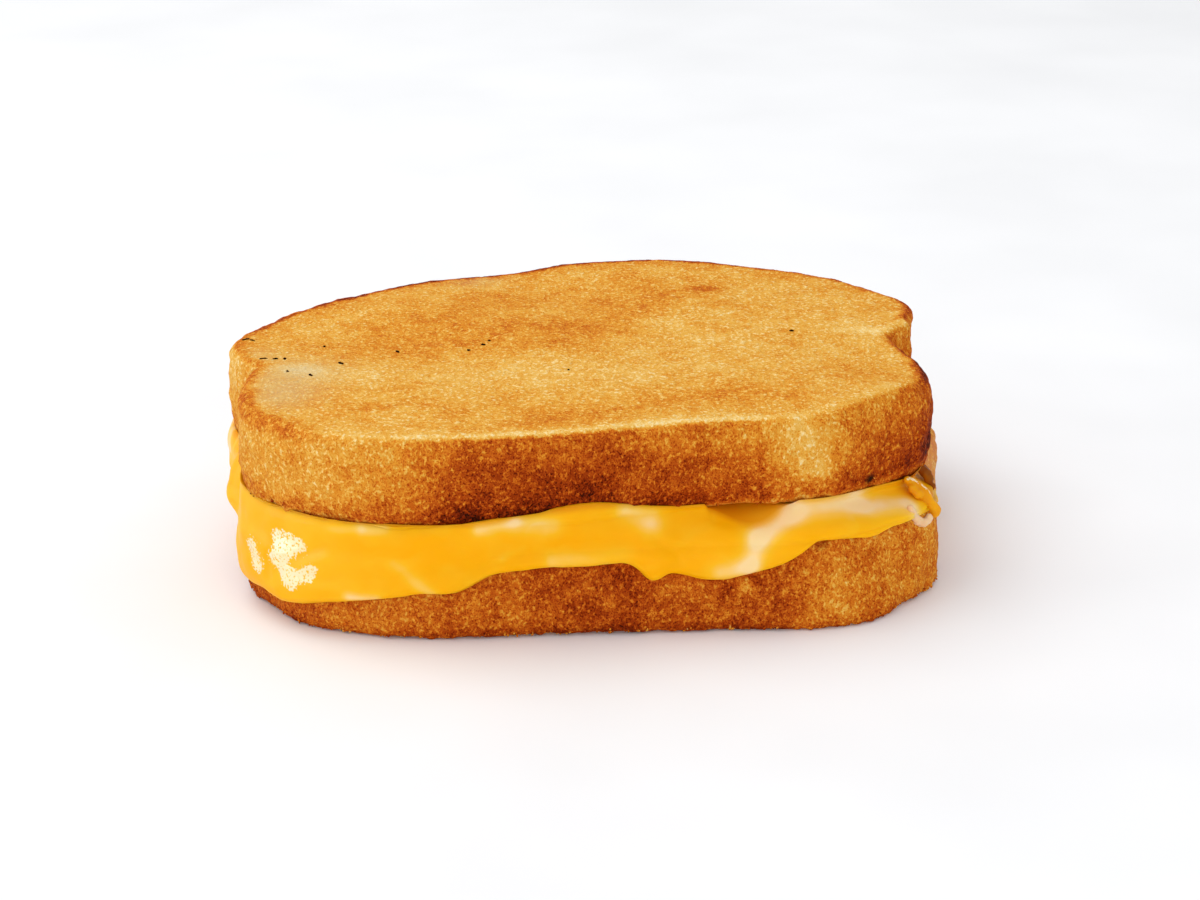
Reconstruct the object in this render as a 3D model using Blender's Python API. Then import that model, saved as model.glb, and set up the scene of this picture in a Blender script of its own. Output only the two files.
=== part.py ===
"""Grilled cheese sandwich: two slices of toasted bread, with melted cheese run through between them.

Metres, +Z up. +X runs along the loaf slices' width, +Y points to their domed crowns. The origin is on the
surface that the sandwich lies on, under the middle of its box. Driving dimensions are in millimetres and
degrees. A bearing is the angle about +Z from +X, seen from above.
"""
from collections import namedtuple

import bmesh
import bpy
import numpy as np

MM = 0.001

# Bread: a pan loaf's slice, whose crown has spread over its base, so that a notch shows on either side
SLICE_THICKNESS = 16.8
RIM_RADIUS = 1.8

# How far the side stands out at mid-height
BELLY = 1.3

# Rounding of the corner in which the two lobes meet
CREASE = 0.6

# The outline is traced outwards from a point inside both lobes, by halving the reach
TRACE_ORIGIN_Y = -2.0
TRACE_REACH = 120.0
TRACE_STEPS = 40
LEAST_SCALE = 1e-6

Lobe = namedtuple("Lobe", "x y half_width front back squareness")
BASE_LOBE = Lobe(-3.8, -15.1, 61.2, 29.8, 21.6, 3.7)
CROWN_LOBE = Lobe(1.8, 3.9, 64.0, 15.7, 42.2, 2.1)

# Where the baked outline swells out of the two lobes or sinks into them
Swell = namedtuple("Swell", "bearing spread height")
LOAF_SWELLS = (
    Swell(58.1, 13.2, 2.0),
    Swell(96.3, 8.5, -1.7),
    Swell(134.9, 9.2, -0.9),
    Swell(164.8, 11.0, 3.9),
    Swell(194.8, 8.3, 3.6),
    Swell(208.9, 18.2, -4.0),
    Swell(306.5, 9.3, 2.5),
    Swell(322.6, 6.0, -0.8),
)
LOWER_SWELLS = LOAF_SWELLS + (Swell(6.0, 9.0, -0.4), Swell(339.0, 13.0, 1.8))
TOP_SWELLS = LOAF_SWELLS + (Swell(338.0, 10.0, 1.4), Swell(357.6, 2.6, 4.9), Swell(9.5, 5.0, 1.9))

# Where the side bellies more or less than BELLY
TOP_BELLIES = (Swell(6.0, 10.0, -1.9), Swell(333.0, 20.0, 0.6), Swell(185.0, 28.0, -0.9))
LOWER_BELLIES = (Swell(350.0, 24.0, -1.0), Swell(10.0, 12.0, -0.4))

# How far the lower slice's side spreads at the table, under the weight of the rest
FLARE = 1.0
FLARES = (
    Swell(210.0, 9.0, 1.7),
    Swell(225.0, 7.0, 1.2),
    Swell(246.0, 8.0, -0.4),
    Swell(284.0, 12.0, 1.0),
    Swell(299.0, 8.0, 1.5),
    Swell(315.5, 9.0, 3.4),
)
FLARE_FADE = 2

# The slices lie turned and shifted by these amounts either way from the middle, with the cheese between
SLICE_TURN = 3.25
SLICE_OFFSET_X = 1.82
SLICE_OFFSET_Y = 0.61
CHEESE_THICKNESS = 5.3
CLEARANCE = 0.3

# The top slice's underside sags towards its right end
DROOP_START_X = 30.0
DROOP_END_X = 66.0
DROOP = 2.9
DROOP_LIMIT = 1.2

# Length of the lower slice's side that the cheese covers: a short lip all round, and the tongues that hang
LIP_COVER = 1.9
TONGUES = (
    Swell(200.6, 13.8, 12.4),
    Swell(202.5, 5.0, -2.2),
    Swell(221.9, 16.0, 6.9),
    Swell(234.8, 4.5, 1.9),
    Swell(253.5, 22.4, 2.0),
    Swell(273.1, 2.9, 2.6),
    Swell(287.2, 14.0, 5.1),
    Swell(303.8, 5.2, -2.0),
    Swell(313.4, 3.0, 0.5),
    Swell(334.0, 6.0, 1.5),
    Swell(175.0, 7.0, 5.0),
    Swell(5.0, 16.0, -4.9),
    Swell(50.0, 11.0, 6.0),
    Swell(78.0, 8.0, 7.0),
    Swell(104.0, 10.0, 3.5),
    Swell(131.0, 9.0, 8.0),
    Swell(153.0, 7.0, 3.0),
)

# Height to which the cheese laps up the top slice's side, above that slice's underside
LIP_RISE = 0.6
RISES = (
    Swell(203.0, 6.0, 1.2),
    Swell(259.0, 17.0, 2.7),
    Swell(295.0, 6.5, -3.0),
    Swell(308.0, 5.0, 0.6),
    Swell(334.0, 5.0, 1.8),
    Swell(6.0, 16.0, -3.0),
    Swell(60.0, 20.0, 0.9),
    Swell(110.0, 14.0, -1.6),
    Swell(145.0, 14.0, 1.1),
)

# How far the cheese stands out of the bread
LIP_PROUD = 1.5
PROUD_SWELLS = (
    Swell(208.0, 11.0, 2.8),
    Swell(226.0, 15.0, 1.3),
    Swell(256.0, 14.0, 0.8),
    Swell(274.0, 4.0, 0.9),
    Swell(287.0, 9.0, 1.0),
    Swell(173.0, 8.0, 3.5),
    Swell(183.5, 4.0, 3.3),
    Swell(189.0, 4.0, -1.0),
    Swell(199.0, 5.0, 0.5),
    Swell(336.0, 8.0, -1.6),
    Swell(131.0, 9.0, 1.2),
    Swell(78.0, 8.0, 1.1),
    Swell(6.0, 16.0, -1.1),
)

# Shape of the lip's section: full between its edges, and fuller below than above
LIP_ROUNDNESS = 0.7
LIP_SAG = 0.4

# Where the cheese stops short of the edges: how far it draws in for each millimetre that it lacks
RETREAT = 1.3
BACK_OFF = 1.6
LEAST_RISE = -2.4
LEAST_LIP = 0.6

# Degrees over which the cheese bridges the slices' notches, and by which it rounds their corners
NOTCH_WEB = 5.0
WEB_REACH = 3.0
WEB_RAYS = 25
CORNER_SPAN = 1.6
HUG_RAYS = 9

# Mesh fineness, with the rings of the flat faces as shares of their reach
OUTLINE_RAYS = 1440
BREAD_COLUMNS = 104
CHEESE_COLUMNS = 144
RIM_STEPS = 3
SIDE_STEPS = 4
LIP_STEPS = 9
FACE_FRACTIONS = (0.9, 0.66, 0.36)
CHEESE_FACE_FRACTIONS = (0.4, 0.8)

# How far inside the rim the cheese's first ring lies, and the least step between its rings
TUCK = 5.0
TUCK_SPACING = 0.12

# Low waves of the top slice's griddled face, which fade quickly below it
Wave = namedtuple("Wave", "length_x length_y phase height")
WAVES = (Wave(71.0, 53.0, 0.4, 0.22), Wave(43.0, 96.0, 2.1, 0.16), Wave(124.0, 39.0, 4.0, 0.18))
WAVE_FADE = 4

# Finishes
BREAD_COLOUR = (0.72, 0.40, 0.12, 1.0)
LOWER_BREAD_COLOUR = (0.60, 0.29, 0.07, 1.0)
BREAD_ROUGHNESS = 0.75
CHEESE_COLOUR = (0.97, 0.46, 0.02, 1.0)
CHEESE_ROUGHNESS = 0.25

Slice = namedtuple("Slice", "name floor turn x y swells bellies colour")
LOWER_SLICE = Slice(
    "bread_bottom", 0.0, -SLICE_TURN, SLICE_OFFSET_X, -SLICE_OFFSET_Y,
    LOWER_SWELLS, LOWER_BELLIES, LOWER_BREAD_COLOUR,
)
TOP_SLICE = Slice(
    "bread_top", SLICE_THICKNESS + CHEESE_THICKNESS, SLICE_TURN, -SLICE_OFFSET_X, SLICE_OFFSET_Y,
    TOP_SWELLS, TOP_BELLIES, BREAD_COLOUR,
)


def swelling(swells, bearings):
    """Sum of rounded swells at each bearing, in millimetres."""
    total = np.zeros_like(bearings)
    for swell in swells:
        away = (bearings - swell.bearing + 180.0) % 360.0 - 180.0
        total += swell.height * np.exp(-((away / swell.spread) ** 2))
    return total


def lobe_distance(lobe, x, y):
    """Rough signed distance to a lobe's edge: a superellipse, deeper on one side than on the other."""
    depth = np.where(y < lobe.y, lobe.front, lobe.back)
    across = np.abs((x - lobe.x) / lobe.half_width) ** lobe.squareness
    along = np.abs((y - lobe.y) / depth) ** lobe.squareness
    scale = (across + along) ** (1.0 / lobe.squareness)
    return np.hypot(x - lobe.x, y - lobe.y) * (1.0 - 1.0 / np.maximum(scale, LEAST_SCALE))


def loaf_reach(swells, bearings):
    """Distance from the trace origin to the slice's edge at each bearing."""
    along_x = np.cos(np.radians(bearings))
    along_y = np.sin(np.radians(bearings))
    near = np.zeros_like(bearings)
    far = np.full_like(bearings, TRACE_REACH)
    for _ in range(TRACE_STEPS):
        middle = 0.5 * (near + far)
        x = middle * along_x
        y = TRACE_ORIGIN_Y + middle * along_y
        base = lobe_distance(BASE_LOBE, x, y)
        crown = lobe_distance(CROWN_LOBE, x, y)
        blend = np.clip(0.5 + 0.5 * (crown - base) / CREASE, 0.0, 1.0)
        inside = crown * (1.0 - blend) + base * blend - CREASE * blend * (1.0 - blend) < 0.0
        near = np.where(inside, middle, near)
        far = np.where(inside, far, middle)
    return 0.5 * (near + far) + swelling(swells, bearings)


def even_bearings(reach, bearings, count):
    """Bearings of points that lie at equal steps along the edge, so that notches get as many as flanks."""
    x = reach * np.cos(np.radians(bearings))
    y = reach * np.sin(np.radians(bearings))
    steps = np.hypot(np.roll(x, -1) - x, np.roll(y, -1) - y)
    lengths = np.concatenate(([0.0], np.cumsum(steps)))
    wanted = np.arange(count) * lengths[-1] / count
    return np.interp(wanted, lengths, np.append(bearings, bearings[0] + 360.0))


def rim_path(length, bellies, bearings):
    """Outward reach and distance from the face, along a slice's profile from the edge of its flat face.

    The profile turns round the rim's quarter circle and then runs along the side. Where length is
    negative it lies on the flat face, inside the rim.
    """
    length = length + np.zeros_like(bearings)
    turned = np.clip(length / RIM_RADIUS, 0.0, 0.5 * np.pi)
    outward = RIM_RADIUS * (np.sin(turned) - 1.0) + np.minimum(length, 0.0)
    away = RIM_RADIUS * (1.0 - np.cos(turned)) + np.maximum(length - 0.5 * np.pi * RIM_RADIUS, 0.0)
    height = np.clip(2.0 * away / SLICE_THICKNESS - 1.0, -1.0, 1.0)
    belly = (BELLY + swelling(bellies, bearings)) * (1.0 - height ** 2)
    return outward + belly, away


def table_flare(height, bearings):
    """How far the lower slice's side has spread at a height above the table."""
    share = np.clip(1.0 - height / SLICE_THICKNESS, 0.0, 1.0)
    return (FLARE + swelling(FLARES, bearings)) * share ** FLARE_FADE


def underside_droop(x):
    """How much lower the top slice's underside hangs towards its right end."""
    share = np.clip((x - DROOP_START_X) / (DROOP_END_X - DROOP_START_X), 0.0, DROOP_LIMIT)
    return DROOP * share ** 2


def face_waves(x, y):
    """Low unevenness of a griddled face."""
    total = np.zeros_like(x)
    for wave in WAVES:
        total += wave.height * np.cos(2.0 * np.pi * (x / wave.length_x + y / wave.length_y) + wave.phase)
    return total


def side_lengths():
    """Path lengths of a slice's rings, from the edge of its lower face to mid-height."""
    quarter = 0.5 * np.pi * RIM_RADIUS
    half_side = 0.5 * SLICE_THICKNESS - RIM_RADIUS
    rim = [quarter * step / RIM_STEPS for step in range(RIM_STEPS + 1)]
    side = [quarter + half_side * 2.0 * step / SIDE_STEPS for step in range(1, SIDE_STEPS // 2 + 1)]
    return rim + side


def slice_rings(spec):
    """Bearings and rings of a slice in its own frame, from its lower face's middle to its upper one's."""
    all_bearings = np.arange(OUTLINE_RAYS) * 360.0 / OUTLINE_RAYS
    bearings = even_bearings(loaf_reach(spec.swells, all_bearings), all_bearings, BREAD_COLUMNS)
    reach = loaf_reach(spec.swells, bearings)
    face_reach = reach - RIM_RADIUS
    rings = [(face_reach * fraction, np.zeros_like(reach)) for fraction in reversed(FACE_FRACTIONS)]
    lengths = side_lengths()
    for length in lengths:
        outward, away = rim_path(length, spec.bellies, bearings)
        rings.append((reach + outward, away))
    for length in reversed(lengths[:-1]):
        outward, away = rim_path(length, spec.bellies, bearings)
        rings.append((reach + outward, SLICE_THICKNESS - away))
    rings += [(face_reach * fraction, np.full_like(reach, SLICE_THICKNESS)) for fraction in FACE_FRACTIONS]
    return bearings, rings


def place_in_sandwich(spec, x, y):
    """Turn and shift a slice's own x and y to where it lies in the sandwich."""
    turn = np.radians(spec.turn)
    placed_x = x * np.cos(turn) - y * np.sin(turn) + spec.x
    placed_y = x * np.sin(turn) + y * np.cos(turn) + spec.y
    return placed_x, placed_y


def put(vertices, points):
    """Move a ring's vertices to its points, given in millimetres."""
    for vertex, point in zip(vertices, points):
        vertex.co = point * MM


def extrude_ring(builder, vertices, edges):
    """Extrude an open ring, and return the new ring's vertices, in the same order, and its edges."""
    made = bmesh.ops.extrude_edge_only(builder, edges=edges)["geom"]
    new_edges = [item for item in made if isinstance(item, bmesh.types.BMEdge)]
    new_vertices = {item for item in made if isinstance(item, bmesh.types.BMVert)}
    twins = []
    for vertex in vertices:
        across = [edge.other_vert(vertex) for edge in vertex.link_edges]
        twins += [other for other in across if other in new_vertices]
    return twins, new_edges


def cap_ring(builder, edges):
    """Close a ring with a fan of triangles to its middle."""
    cap = bmesh.ops.edgeloop_fill(builder, edges=edges)["faces"]
    bmesh.ops.poke(builder, faces=cap)


def loft(name, rings):
    """Closed body extruded from ring to ring, and capped at both ends."""
    builder = bmesh.new()
    vertices = bmesh.ops.create_circle(builder, segments=len(rings[0]), radius=MM)["verts"]
    edges = builder.edges[:]
    first_edges = edges
    put(vertices, rings[0])
    for ring in rings[1:]:
        vertices, edges = extrude_ring(builder, vertices, edges)
        put(vertices, ring)
    cap_ring(builder, first_edges)
    cap_ring(builder, edges)
    bmesh.ops.recalc_face_normals(builder, faces=builder.faces)
    bmesh.ops.triangulate(builder, faces=builder.faces)
    mesh = bpy.data.meshes.new(name)
    builder.to_mesh(mesh)
    builder.free()
    mesh.shade_smooth()
    solid = bpy.data.objects.new(name, mesh)
    bpy.context.scene.collection.objects.link(solid)
    return solid


def build_slice(spec):
    """One slice of bread, on its floor height and turned as it lies."""
    bearings, flat_rings = slice_rings(spec)
    is_top = spec is TOP_SLICE
    rings = []
    for reach, height in flat_rings:
        if not is_top:
            reach = reach + table_flare(height, bearings)
        x = reach * np.cos(np.radians(bearings))
        y = TRACE_ORIGIN_Y + reach * np.sin(np.radians(bearings))
        x, y = place_in_sandwich(spec, x, y)
        lift = np.clip(height / SLICE_THICKNESS, 0.0, 1.0)
        z = spec.floor + height
        if is_top:
            z = z - underside_droop(x) * (1.0 - lift) + face_waves(x, y) * lift ** WAVE_FADE
        rings.append(np.column_stack((x, y, z)))
    return loft(spec.name, rings)


def edge_in_sandwich(spec):
    """Bearing and reach of a placed slice's edge from the middle of the sandwich, and its own bearings."""
    bearings = np.arange(OUTLINE_RAYS) * 360.0 / OUTLINE_RAYS
    reach = loaf_reach(spec.swells, bearings)
    x = reach * np.cos(np.radians(bearings))
    y = TRACE_ORIGIN_Y + reach * np.sin(np.radians(bearings))
    x, y = place_in_sandwich(spec, x, y)
    seen = np.degrees(np.arctan2(y, x)) % 360.0
    order = np.argsort(seen)
    return seen[order], np.hypot(x, y)[order], bearings[order]


def edge_reach(spec, bearings):
    """Distance from the middle of the sandwich to a placed slice's edge, at each bearing."""
    seen, reach, _ = edge_in_sandwich(spec)
    return np.interp(bearings % 360.0, seen, reach, period=360.0)


def own_bearings(spec, bearings):
    """A placed slice's own bearings of the parts of its edge that lie at bearings from the middle."""
    seen, _, own = edge_in_sandwich(spec)
    turned = (own - seen + 180.0) % 360.0 - 180.0
    return bearings + np.interp(bearings % 360.0, seen, turned, period=360.0)


def webbed_reach(spec, bearings):
    """Edge distance with the notches bridged over a few degrees, as thick cheese bridges them."""
    total = np.zeros_like(bearings)
    weights = 0.0
    for shift in np.linspace(-WEB_REACH, WEB_REACH, WEB_RAYS):
        weight = np.exp(-0.5 * shift ** 2)
        total += weight * edge_reach(spec, bearings + shift * NOTCH_WEB)
        weights += weight
    return total / weights


def hugging_reach(spec, bearings):
    """Edge distance of cheese that follows the edge but leaves its sharpest corners free."""
    shifts = np.linspace(-CORNER_SPAN, CORNER_SPAN, HUG_RAYS)
    return np.max([edge_reach(spec, bearings + shift) for shift in shifts], axis=0)


def smooth_step(low, high, value):
    """Ease from 0 at low to 1 at high."""
    share = np.clip((value - low) / (high - low), 0.0, 1.0)
    return share * share * (3.0 - 2.0 * share)


def tuck_lengths(contact):
    """Path lengths of the rings that follow a slice, from where the cheese leaves it back to under it."""
    quarter = 0.5 * np.pi * RIM_RADIUS
    rim = [quarter * step / RIM_STEPS for step in range(RIM_STEPS, -1, -1)]
    return [contact, 0.5 * (contact + quarter)] + rim + [-TUCK]


def build_cheese():
    """Cheese layer: a slab between the slices, whose lip laps up the top one and hangs over the lower one."""
    all_bearings = np.arange(OUTLINE_RAYS) * 360.0 / OUTLINE_RAYS
    bearings = even_bearings(webbed_reach(LOWER_SLICE, all_bearings), all_bearings, CHEESE_COLUMNS)
    top_edge = hugging_reach(TOP_SLICE, bearings)
    low_edge = hugging_reach(LOWER_SLICE, bearings)
    top_web = np.maximum(webbed_reach(TOP_SLICE, bearings), top_edge)
    low_web = np.maximum(webbed_reach(LOWER_SLICE, bearings), low_edge)
    top_own = own_bearings(TOP_SLICE, bearings)
    low_own = own_bearings(LOWER_SLICE, bearings)
    cover = LIP_COVER + swelling(TONGUES, bearings)
    back_off = BACK_OFF * np.maximum(-cover, 0.0)
    proud = LIP_PROUD + swelling(PROUD_SWELLS, bearings)
    droop = underside_droop(top_edge * np.cos(np.radians(bearings)))
    ceiling = TOP_SLICE.floor - CLEARANCE
    floor = SLICE_THICKNESS + CLEARANCE
    rim_saving = (0.5 * np.pi - 1.0) * RIM_RADIUS
    least_rise = np.maximum(LEAST_RISE, floor + LEAST_LIP + droop - TOP_SLICE.floor)
    rise = np.maximum(LIP_RISE + swelling(RISES, bearings), least_rise)

    def under_top_slice(length):
        outward, away = rim_path(length, TOP_BELLIES, top_own)
        reach = top_edge + outward + CLEARANCE * np.clip(length / RIM_RADIUS, 0.0, 1.0)
        height = ceiling + away - underside_droop(reach * np.cos(np.radians(bearings)))
        return reach, height

    def over_lower_slice(length):
        outward, away = rim_path(length, LOWER_BELLIES, low_own)
        outward = outward + table_flare(SLICE_THICKNESS - away, low_own)
        reach = low_edge + outward + CLEARANCE * np.clip(length / RIM_RADIUS, 0.0, 1.0)
        return reach, floor - away

    def outer_side(height):
        top_length = np.maximum(height - TOP_SLICE.floor + droop, 0.0) + rim_saving
        low_length = np.maximum(SLICE_THICKNESS - height, 0.0) + rim_saving
        top_side = top_web + rim_path(top_length, TOP_BELLIES, top_own)[0]
        low_side = low_web + rim_path(low_length, LOWER_BELLIES, low_own)[0]
        low_side = low_side + table_flare(height, low_own)
        share = smooth_step(floor, ceiling - droop, height)
        return low_side + (top_side - low_side) * share + CLEARANCE - back_off

    top_contact = np.where(rise > 0.0, rise, rise * RETREAT)
    upper_edge = TOP_SLICE.floor - droop + rise
    low_contact_height = over_lower_slice(cover)[1]
    rings = []
    for fraction in CHEESE_FACE_FRACTIONS:
        reach = under_top_slice(np.full_like(bearings, -TUCK))[0] * fraction
        rings.append((reach, ceiling - underside_droop(reach * np.cos(np.radians(bearings)))))
    for to_go, length in reversed(list(enumerate(tuck_lengths(top_contact)))):
        rings.append(under_top_slice(np.minimum(length, top_contact - to_go * TUCK_SPACING)))
    for step in range(1, LIP_STEPS + 1):
        turn = np.pi * step / (LIP_STEPS + 1)
        height = upper_edge + (low_contact_height - upper_edge) * 0.5 * (1.0 - np.cos(turn))
        fullness = np.sin(turn) ** LIP_ROUNDNESS * (1.0 - LIP_SAG * np.cos(turn))
        rings.append((outer_side(height) + proud * fullness, height))
    for to_go, length in enumerate(tuck_lengths(cover)):
        rings.append(over_lower_slice(np.minimum(length, cover - to_go * TUCK_SPACING)))
    for fraction in reversed(CHEESE_FACE_FRACTIONS):
        reach = over_lower_slice(np.full_like(bearings, -TUCK))[0] * fraction
        rings.append((reach, np.full_like(reach, floor)))
    points = []
    for reach, height in reversed(rings):
        x = reach * np.cos(np.radians(bearings))
        y = reach * np.sin(np.radians(bearings))
        points.append(np.column_stack((x, y, height)))
    return loft("cheese", points)


def dress(solid, name, colour, roughness):
    """Give a solid its own plain material."""
    material = bpy.data.materials.new(name)
    material.use_nodes = True
    shader = material.node_tree.nodes["Principled BSDF"]
    shader.inputs["Base Color"].default_value = colour
    shader.inputs["Roughness"].default_value = roughness
    shader.inputs["Metallic"].default_value = 0.0
    solid.data.materials.append(material)


def centre_on_origin(solids):
    """Shift all the meshes so that the middle of their common box is over the origin."""
    points = [vertex.co for solid in solids for vertex in solid.data.vertices]
    shift_x = 0.5 * (min(point.x for point in points) + max(point.x for point in points))
    shift_y = 0.5 * (min(point.y for point in points) + max(point.y for point in points))
    for solid in solids:
        for vertex in solid.data.vertices:
            vertex.co.x -= shift_x
            vertex.co.y -= shift_y


def main():
    """Clear the scene and build the sandwich's three pieces."""
    for old in list(bpy.data.objects):
        bpy.data.objects.remove(old)
    lower = build_slice(LOWER_SLICE)
    dress(lower, "toasted_bread_lower", LOWER_SLICE.colour, BREAD_ROUGHNESS)
    cheese = build_cheese()
    dress(cheese, "melted_cheese", CHEESE_COLOUR, CHEESE_ROUGHNESS)
    top = build_slice(TOP_SLICE)
    dress(top, "toasted_bread_top", TOP_SLICE.colour, BREAD_ROUGHNESS)
    centre_on_origin((lower, cheese, top))


main()
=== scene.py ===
"""Looks of the grilled cheese sandwich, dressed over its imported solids.

The two griddled slices and the melted cheese between them are modelled again as fine meshes in their solids'
own places, with the small things that lie on them. +X runs along the slices' width, +Y to their domed crowns,
+Z up. Sizes are in millimetres and angles in degrees. A bearing is the angle about +Z from +X, from above.
"""
import itertools
import logging
from dataclasses import dataclass, field, replace
from enum import Enum

import bmesh
import bpy
import numpy as np
from mathutils import Matrix, Vector


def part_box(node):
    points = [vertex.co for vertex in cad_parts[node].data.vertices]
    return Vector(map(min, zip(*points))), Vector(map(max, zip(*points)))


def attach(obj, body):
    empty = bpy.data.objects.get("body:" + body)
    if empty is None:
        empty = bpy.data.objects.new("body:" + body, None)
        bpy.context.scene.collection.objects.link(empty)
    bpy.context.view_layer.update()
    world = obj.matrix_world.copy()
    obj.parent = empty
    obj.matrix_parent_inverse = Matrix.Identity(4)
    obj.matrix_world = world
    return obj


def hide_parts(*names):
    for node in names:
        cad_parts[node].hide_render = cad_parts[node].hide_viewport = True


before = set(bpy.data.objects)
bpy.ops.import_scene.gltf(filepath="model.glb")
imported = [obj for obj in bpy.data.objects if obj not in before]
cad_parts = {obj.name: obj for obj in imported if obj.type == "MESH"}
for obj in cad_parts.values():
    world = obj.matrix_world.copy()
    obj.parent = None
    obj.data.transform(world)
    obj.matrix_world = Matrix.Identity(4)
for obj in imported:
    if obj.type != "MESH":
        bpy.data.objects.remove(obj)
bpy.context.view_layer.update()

MM = 0.001
BODY = "root"
LATTICE = 64
TINY = 1e-6

# How each octave of grain is turned, and what brings the grain's range to about 1
GRAIN_TURN = np.array(Matrix.Rotation(0.9, 3, Vector((1.0, 2.0, 3.0))))
GRAIN_GAIN = 1.6

# Sockets of a colour mix node
MIX_FACTOR, MIX_A, MIX_B, MIX_RESULT = 0, 6, 7, 2

# Sockets of a node that maps a value from one range to another, from 0 to 1 if the last two aren't set
RANGE = ("Value", "From Min", "From Max", "To Min", "To Max")

# A span of bearings so wide that a band on it runs all round
ALL_ROUND = 1e6

# Two ends of a range, three values along X, Y and Z, and places and hex colours of a ramp
Pair = tuple[float, float]
Triple = tuple[float, float, float]
Stops = tuple[tuple[float, str], ...]

Vertices = list[bmesh.types.BMVert]
Edges = list[bmesh.types.BMEdge]

log = logging.getLogger("sandwich")


class Slot(Enum):
    """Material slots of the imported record."""

    LOWER_TOAST = "toast_lower"
    CHEESE = "melted_cheese"
    UPPER_TOAST = "toast_upper"


def each(kind: type, *rows: tuple) -> tuple:
    """One thing of a kind for every row of values."""
    return tuple(kind(*row) for row in rows)


def linear(code: str) -> tuple[float, ...]:
    """Linear red, green, blue and full alpha of an sRGB hex colour such as "#e9a548"."""
    shares = [int(code[at:at + 2], 16) / 255.0 for at in (1, 3, 5)]
    return (*(part / 12.92 if part <= 0.04045 else ((part + 0.055) / 1.055) ** 2.4 for part in shares), 1.0)


def smooth_step(low: float, high: float, value: np.ndarray) -> np.ndarray:
    """Ease from 0 at one value to 1 at the other, and stay there past them."""
    share = np.clip((value - low) / (high - low), 0.0, 1.0)
    return share * share * (3.0 - 2.0 * share)


def fading(full: float, gone: float, value: np.ndarray) -> np.ndarray:
    """Ease from 1 at one value to 0 at the other, and stay there past them."""
    return 1.0 - smooth_step(full, gone, value)


def polar(reach: np.ndarray, bearings: np.ndarray) -> tuple[np.ndarray, np.ndarray]:
    """X and Y of points at distances and bearings from the middle."""
    turn = np.radians(bearings)
    return reach * np.cos(turn), reach * np.sin(turn)


def bearing_of(x: np.ndarray, y: np.ndarray) -> np.ndarray:
    """Bearings of places from the middle, from 0 up to 360."""
    return np.degrees(np.arctan2(y, x)) % 360.0


def rotated(x: np.ndarray, y: np.ndarray, angle: float) -> tuple[np.ndarray, np.ndarray]:
    """X and Y of places after a turn about +Z."""
    turn = np.radians(angle)
    return x * np.cos(turn) - y * np.sin(turn), x * np.sin(turn) + y * np.cos(turn)


@dataclass(frozen=True)
class Grain:
    """Smooth seeded noise in space, mostly between -1 and 1.

    Each octave is turned, so that the lattice doesn't show as straight lines.
    """

    size: float
    seed: int
    octaves: int = 1
    fade: float = 0.5

    def at(self, points: np.ndarray) -> np.ndarray:
        """Noise at points.

        Args:
            points: Places in millimetres, one row each.

        Returns:
            One value for each point.
        """
        table = np.random.default_rng(self.seed).uniform(-1.0, 1.0, (LATTICE,) * 3)
        place = points / self.size
        total = np.zeros(len(points))
        weight = 1.0
        for _ in range(self.octaves):
            place = place @ GRAIN_TURN
            whole = np.floor(place).astype(int)
            ease = smooth_step(0.0, 1.0, place - whole)
            for corner in itertools.product((0, 1), repeat=3):
                cell = tuple(((whole + corner) % LATTICE).T)
                share = np.prod(np.where(np.array(corner) == 1, ease, 1.0 - ease), axis=1)
                total += weight * share * table[cell]
            place = place * 2.0
            weight *= self.fade
        return total * GRAIN_GAIN


@dataclass(frozen=True)
class Dots:
    """Seeded round spots of uneven size, scattered in space."""

    spacing: float
    radius: float
    seed: int
    share: float = 1.0

    def at(self, points: np.ndarray) -> np.ndarray:
        """How deep in a spot the points lie.

        Args:
            points: Places in millimetres, one row each.

        Returns:
            1 at a spot's middle, easing to 0 at its edge.
        """
        draw = np.random.default_rng(self.seed)
        middles = draw.uniform(0.1, 0.9, (LATTICE, LATTICE, LATTICE, 3))
        radii = self.radius * draw.uniform(0.4, 1.0, (LATTICE,) * 3)
        radii *= draw.uniform(size=(LATTICE,) * 3) < self.share
        place = points / self.spacing
        whole = np.floor(place).astype(int)
        depth = np.zeros(len(points))
        for step in itertools.product((-1, 0, 1), repeat=3):
            cell = whole + step
            known = tuple((cell % LATTICE).T)
            gap = np.linalg.norm(place - cell - middles[known], axis=1) * self.spacing
            depth = np.maximum(depth, 1.0 - gap / np.maximum(radii[known], TINY))
        return smooth_step(0.0, 1.0, depth)


@dataclass(frozen=True)
class Relief:
    """A pattern of grain or dots, and how far it stands out."""

    height: float
    pattern: Grain | Dots


def rough(reliefs: tuple[Relief, ...], points: np.ndarray, seed: int = 0) -> np.ndarray:
    """How far reliefs stand out in all at points, with a seed added to their own."""
    parts = ((part.height, replace(part.pattern, seed=seed + part.pattern.seed)) for part in reliefs)
    return sum((height * pattern.at(points) for height, pattern in parts), np.zeros(len(points)))


@dataclass(frozen=True)
class Swell:
    """A rounded rise or fall about a bearing, or about a depth inside an outline."""

    bearing: float
    spread: float
    height: float

    def at(self, bearings: np.ndarray) -> np.ndarray:
        """Height of the swell at bearings, or at depths."""
        away = (bearings - self.bearing + 180.0) % 360.0 - 180.0
        return self.height * np.exp(-((away / self.spread) ** 2))


@dataclass(frozen=True)
class Patch:
    """A soft round patch on a surface, at a place in the row frame. A flat one is longer along X."""

    x: float
    y: float
    z: float
    spread: float
    strength: float
    flat: float = 1.0

    def at(self, points: np.ndarray) -> np.ndarray:
        """Strength of the patch at points, fading over its spread."""
        away = (points - np.array((self.x, self.y, self.z))) * np.array((self.flat, 1.0, 1.0))
        return self.strength * np.exp(-np.sum(away ** 2, axis=1) / self.spread ** 2)


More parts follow.
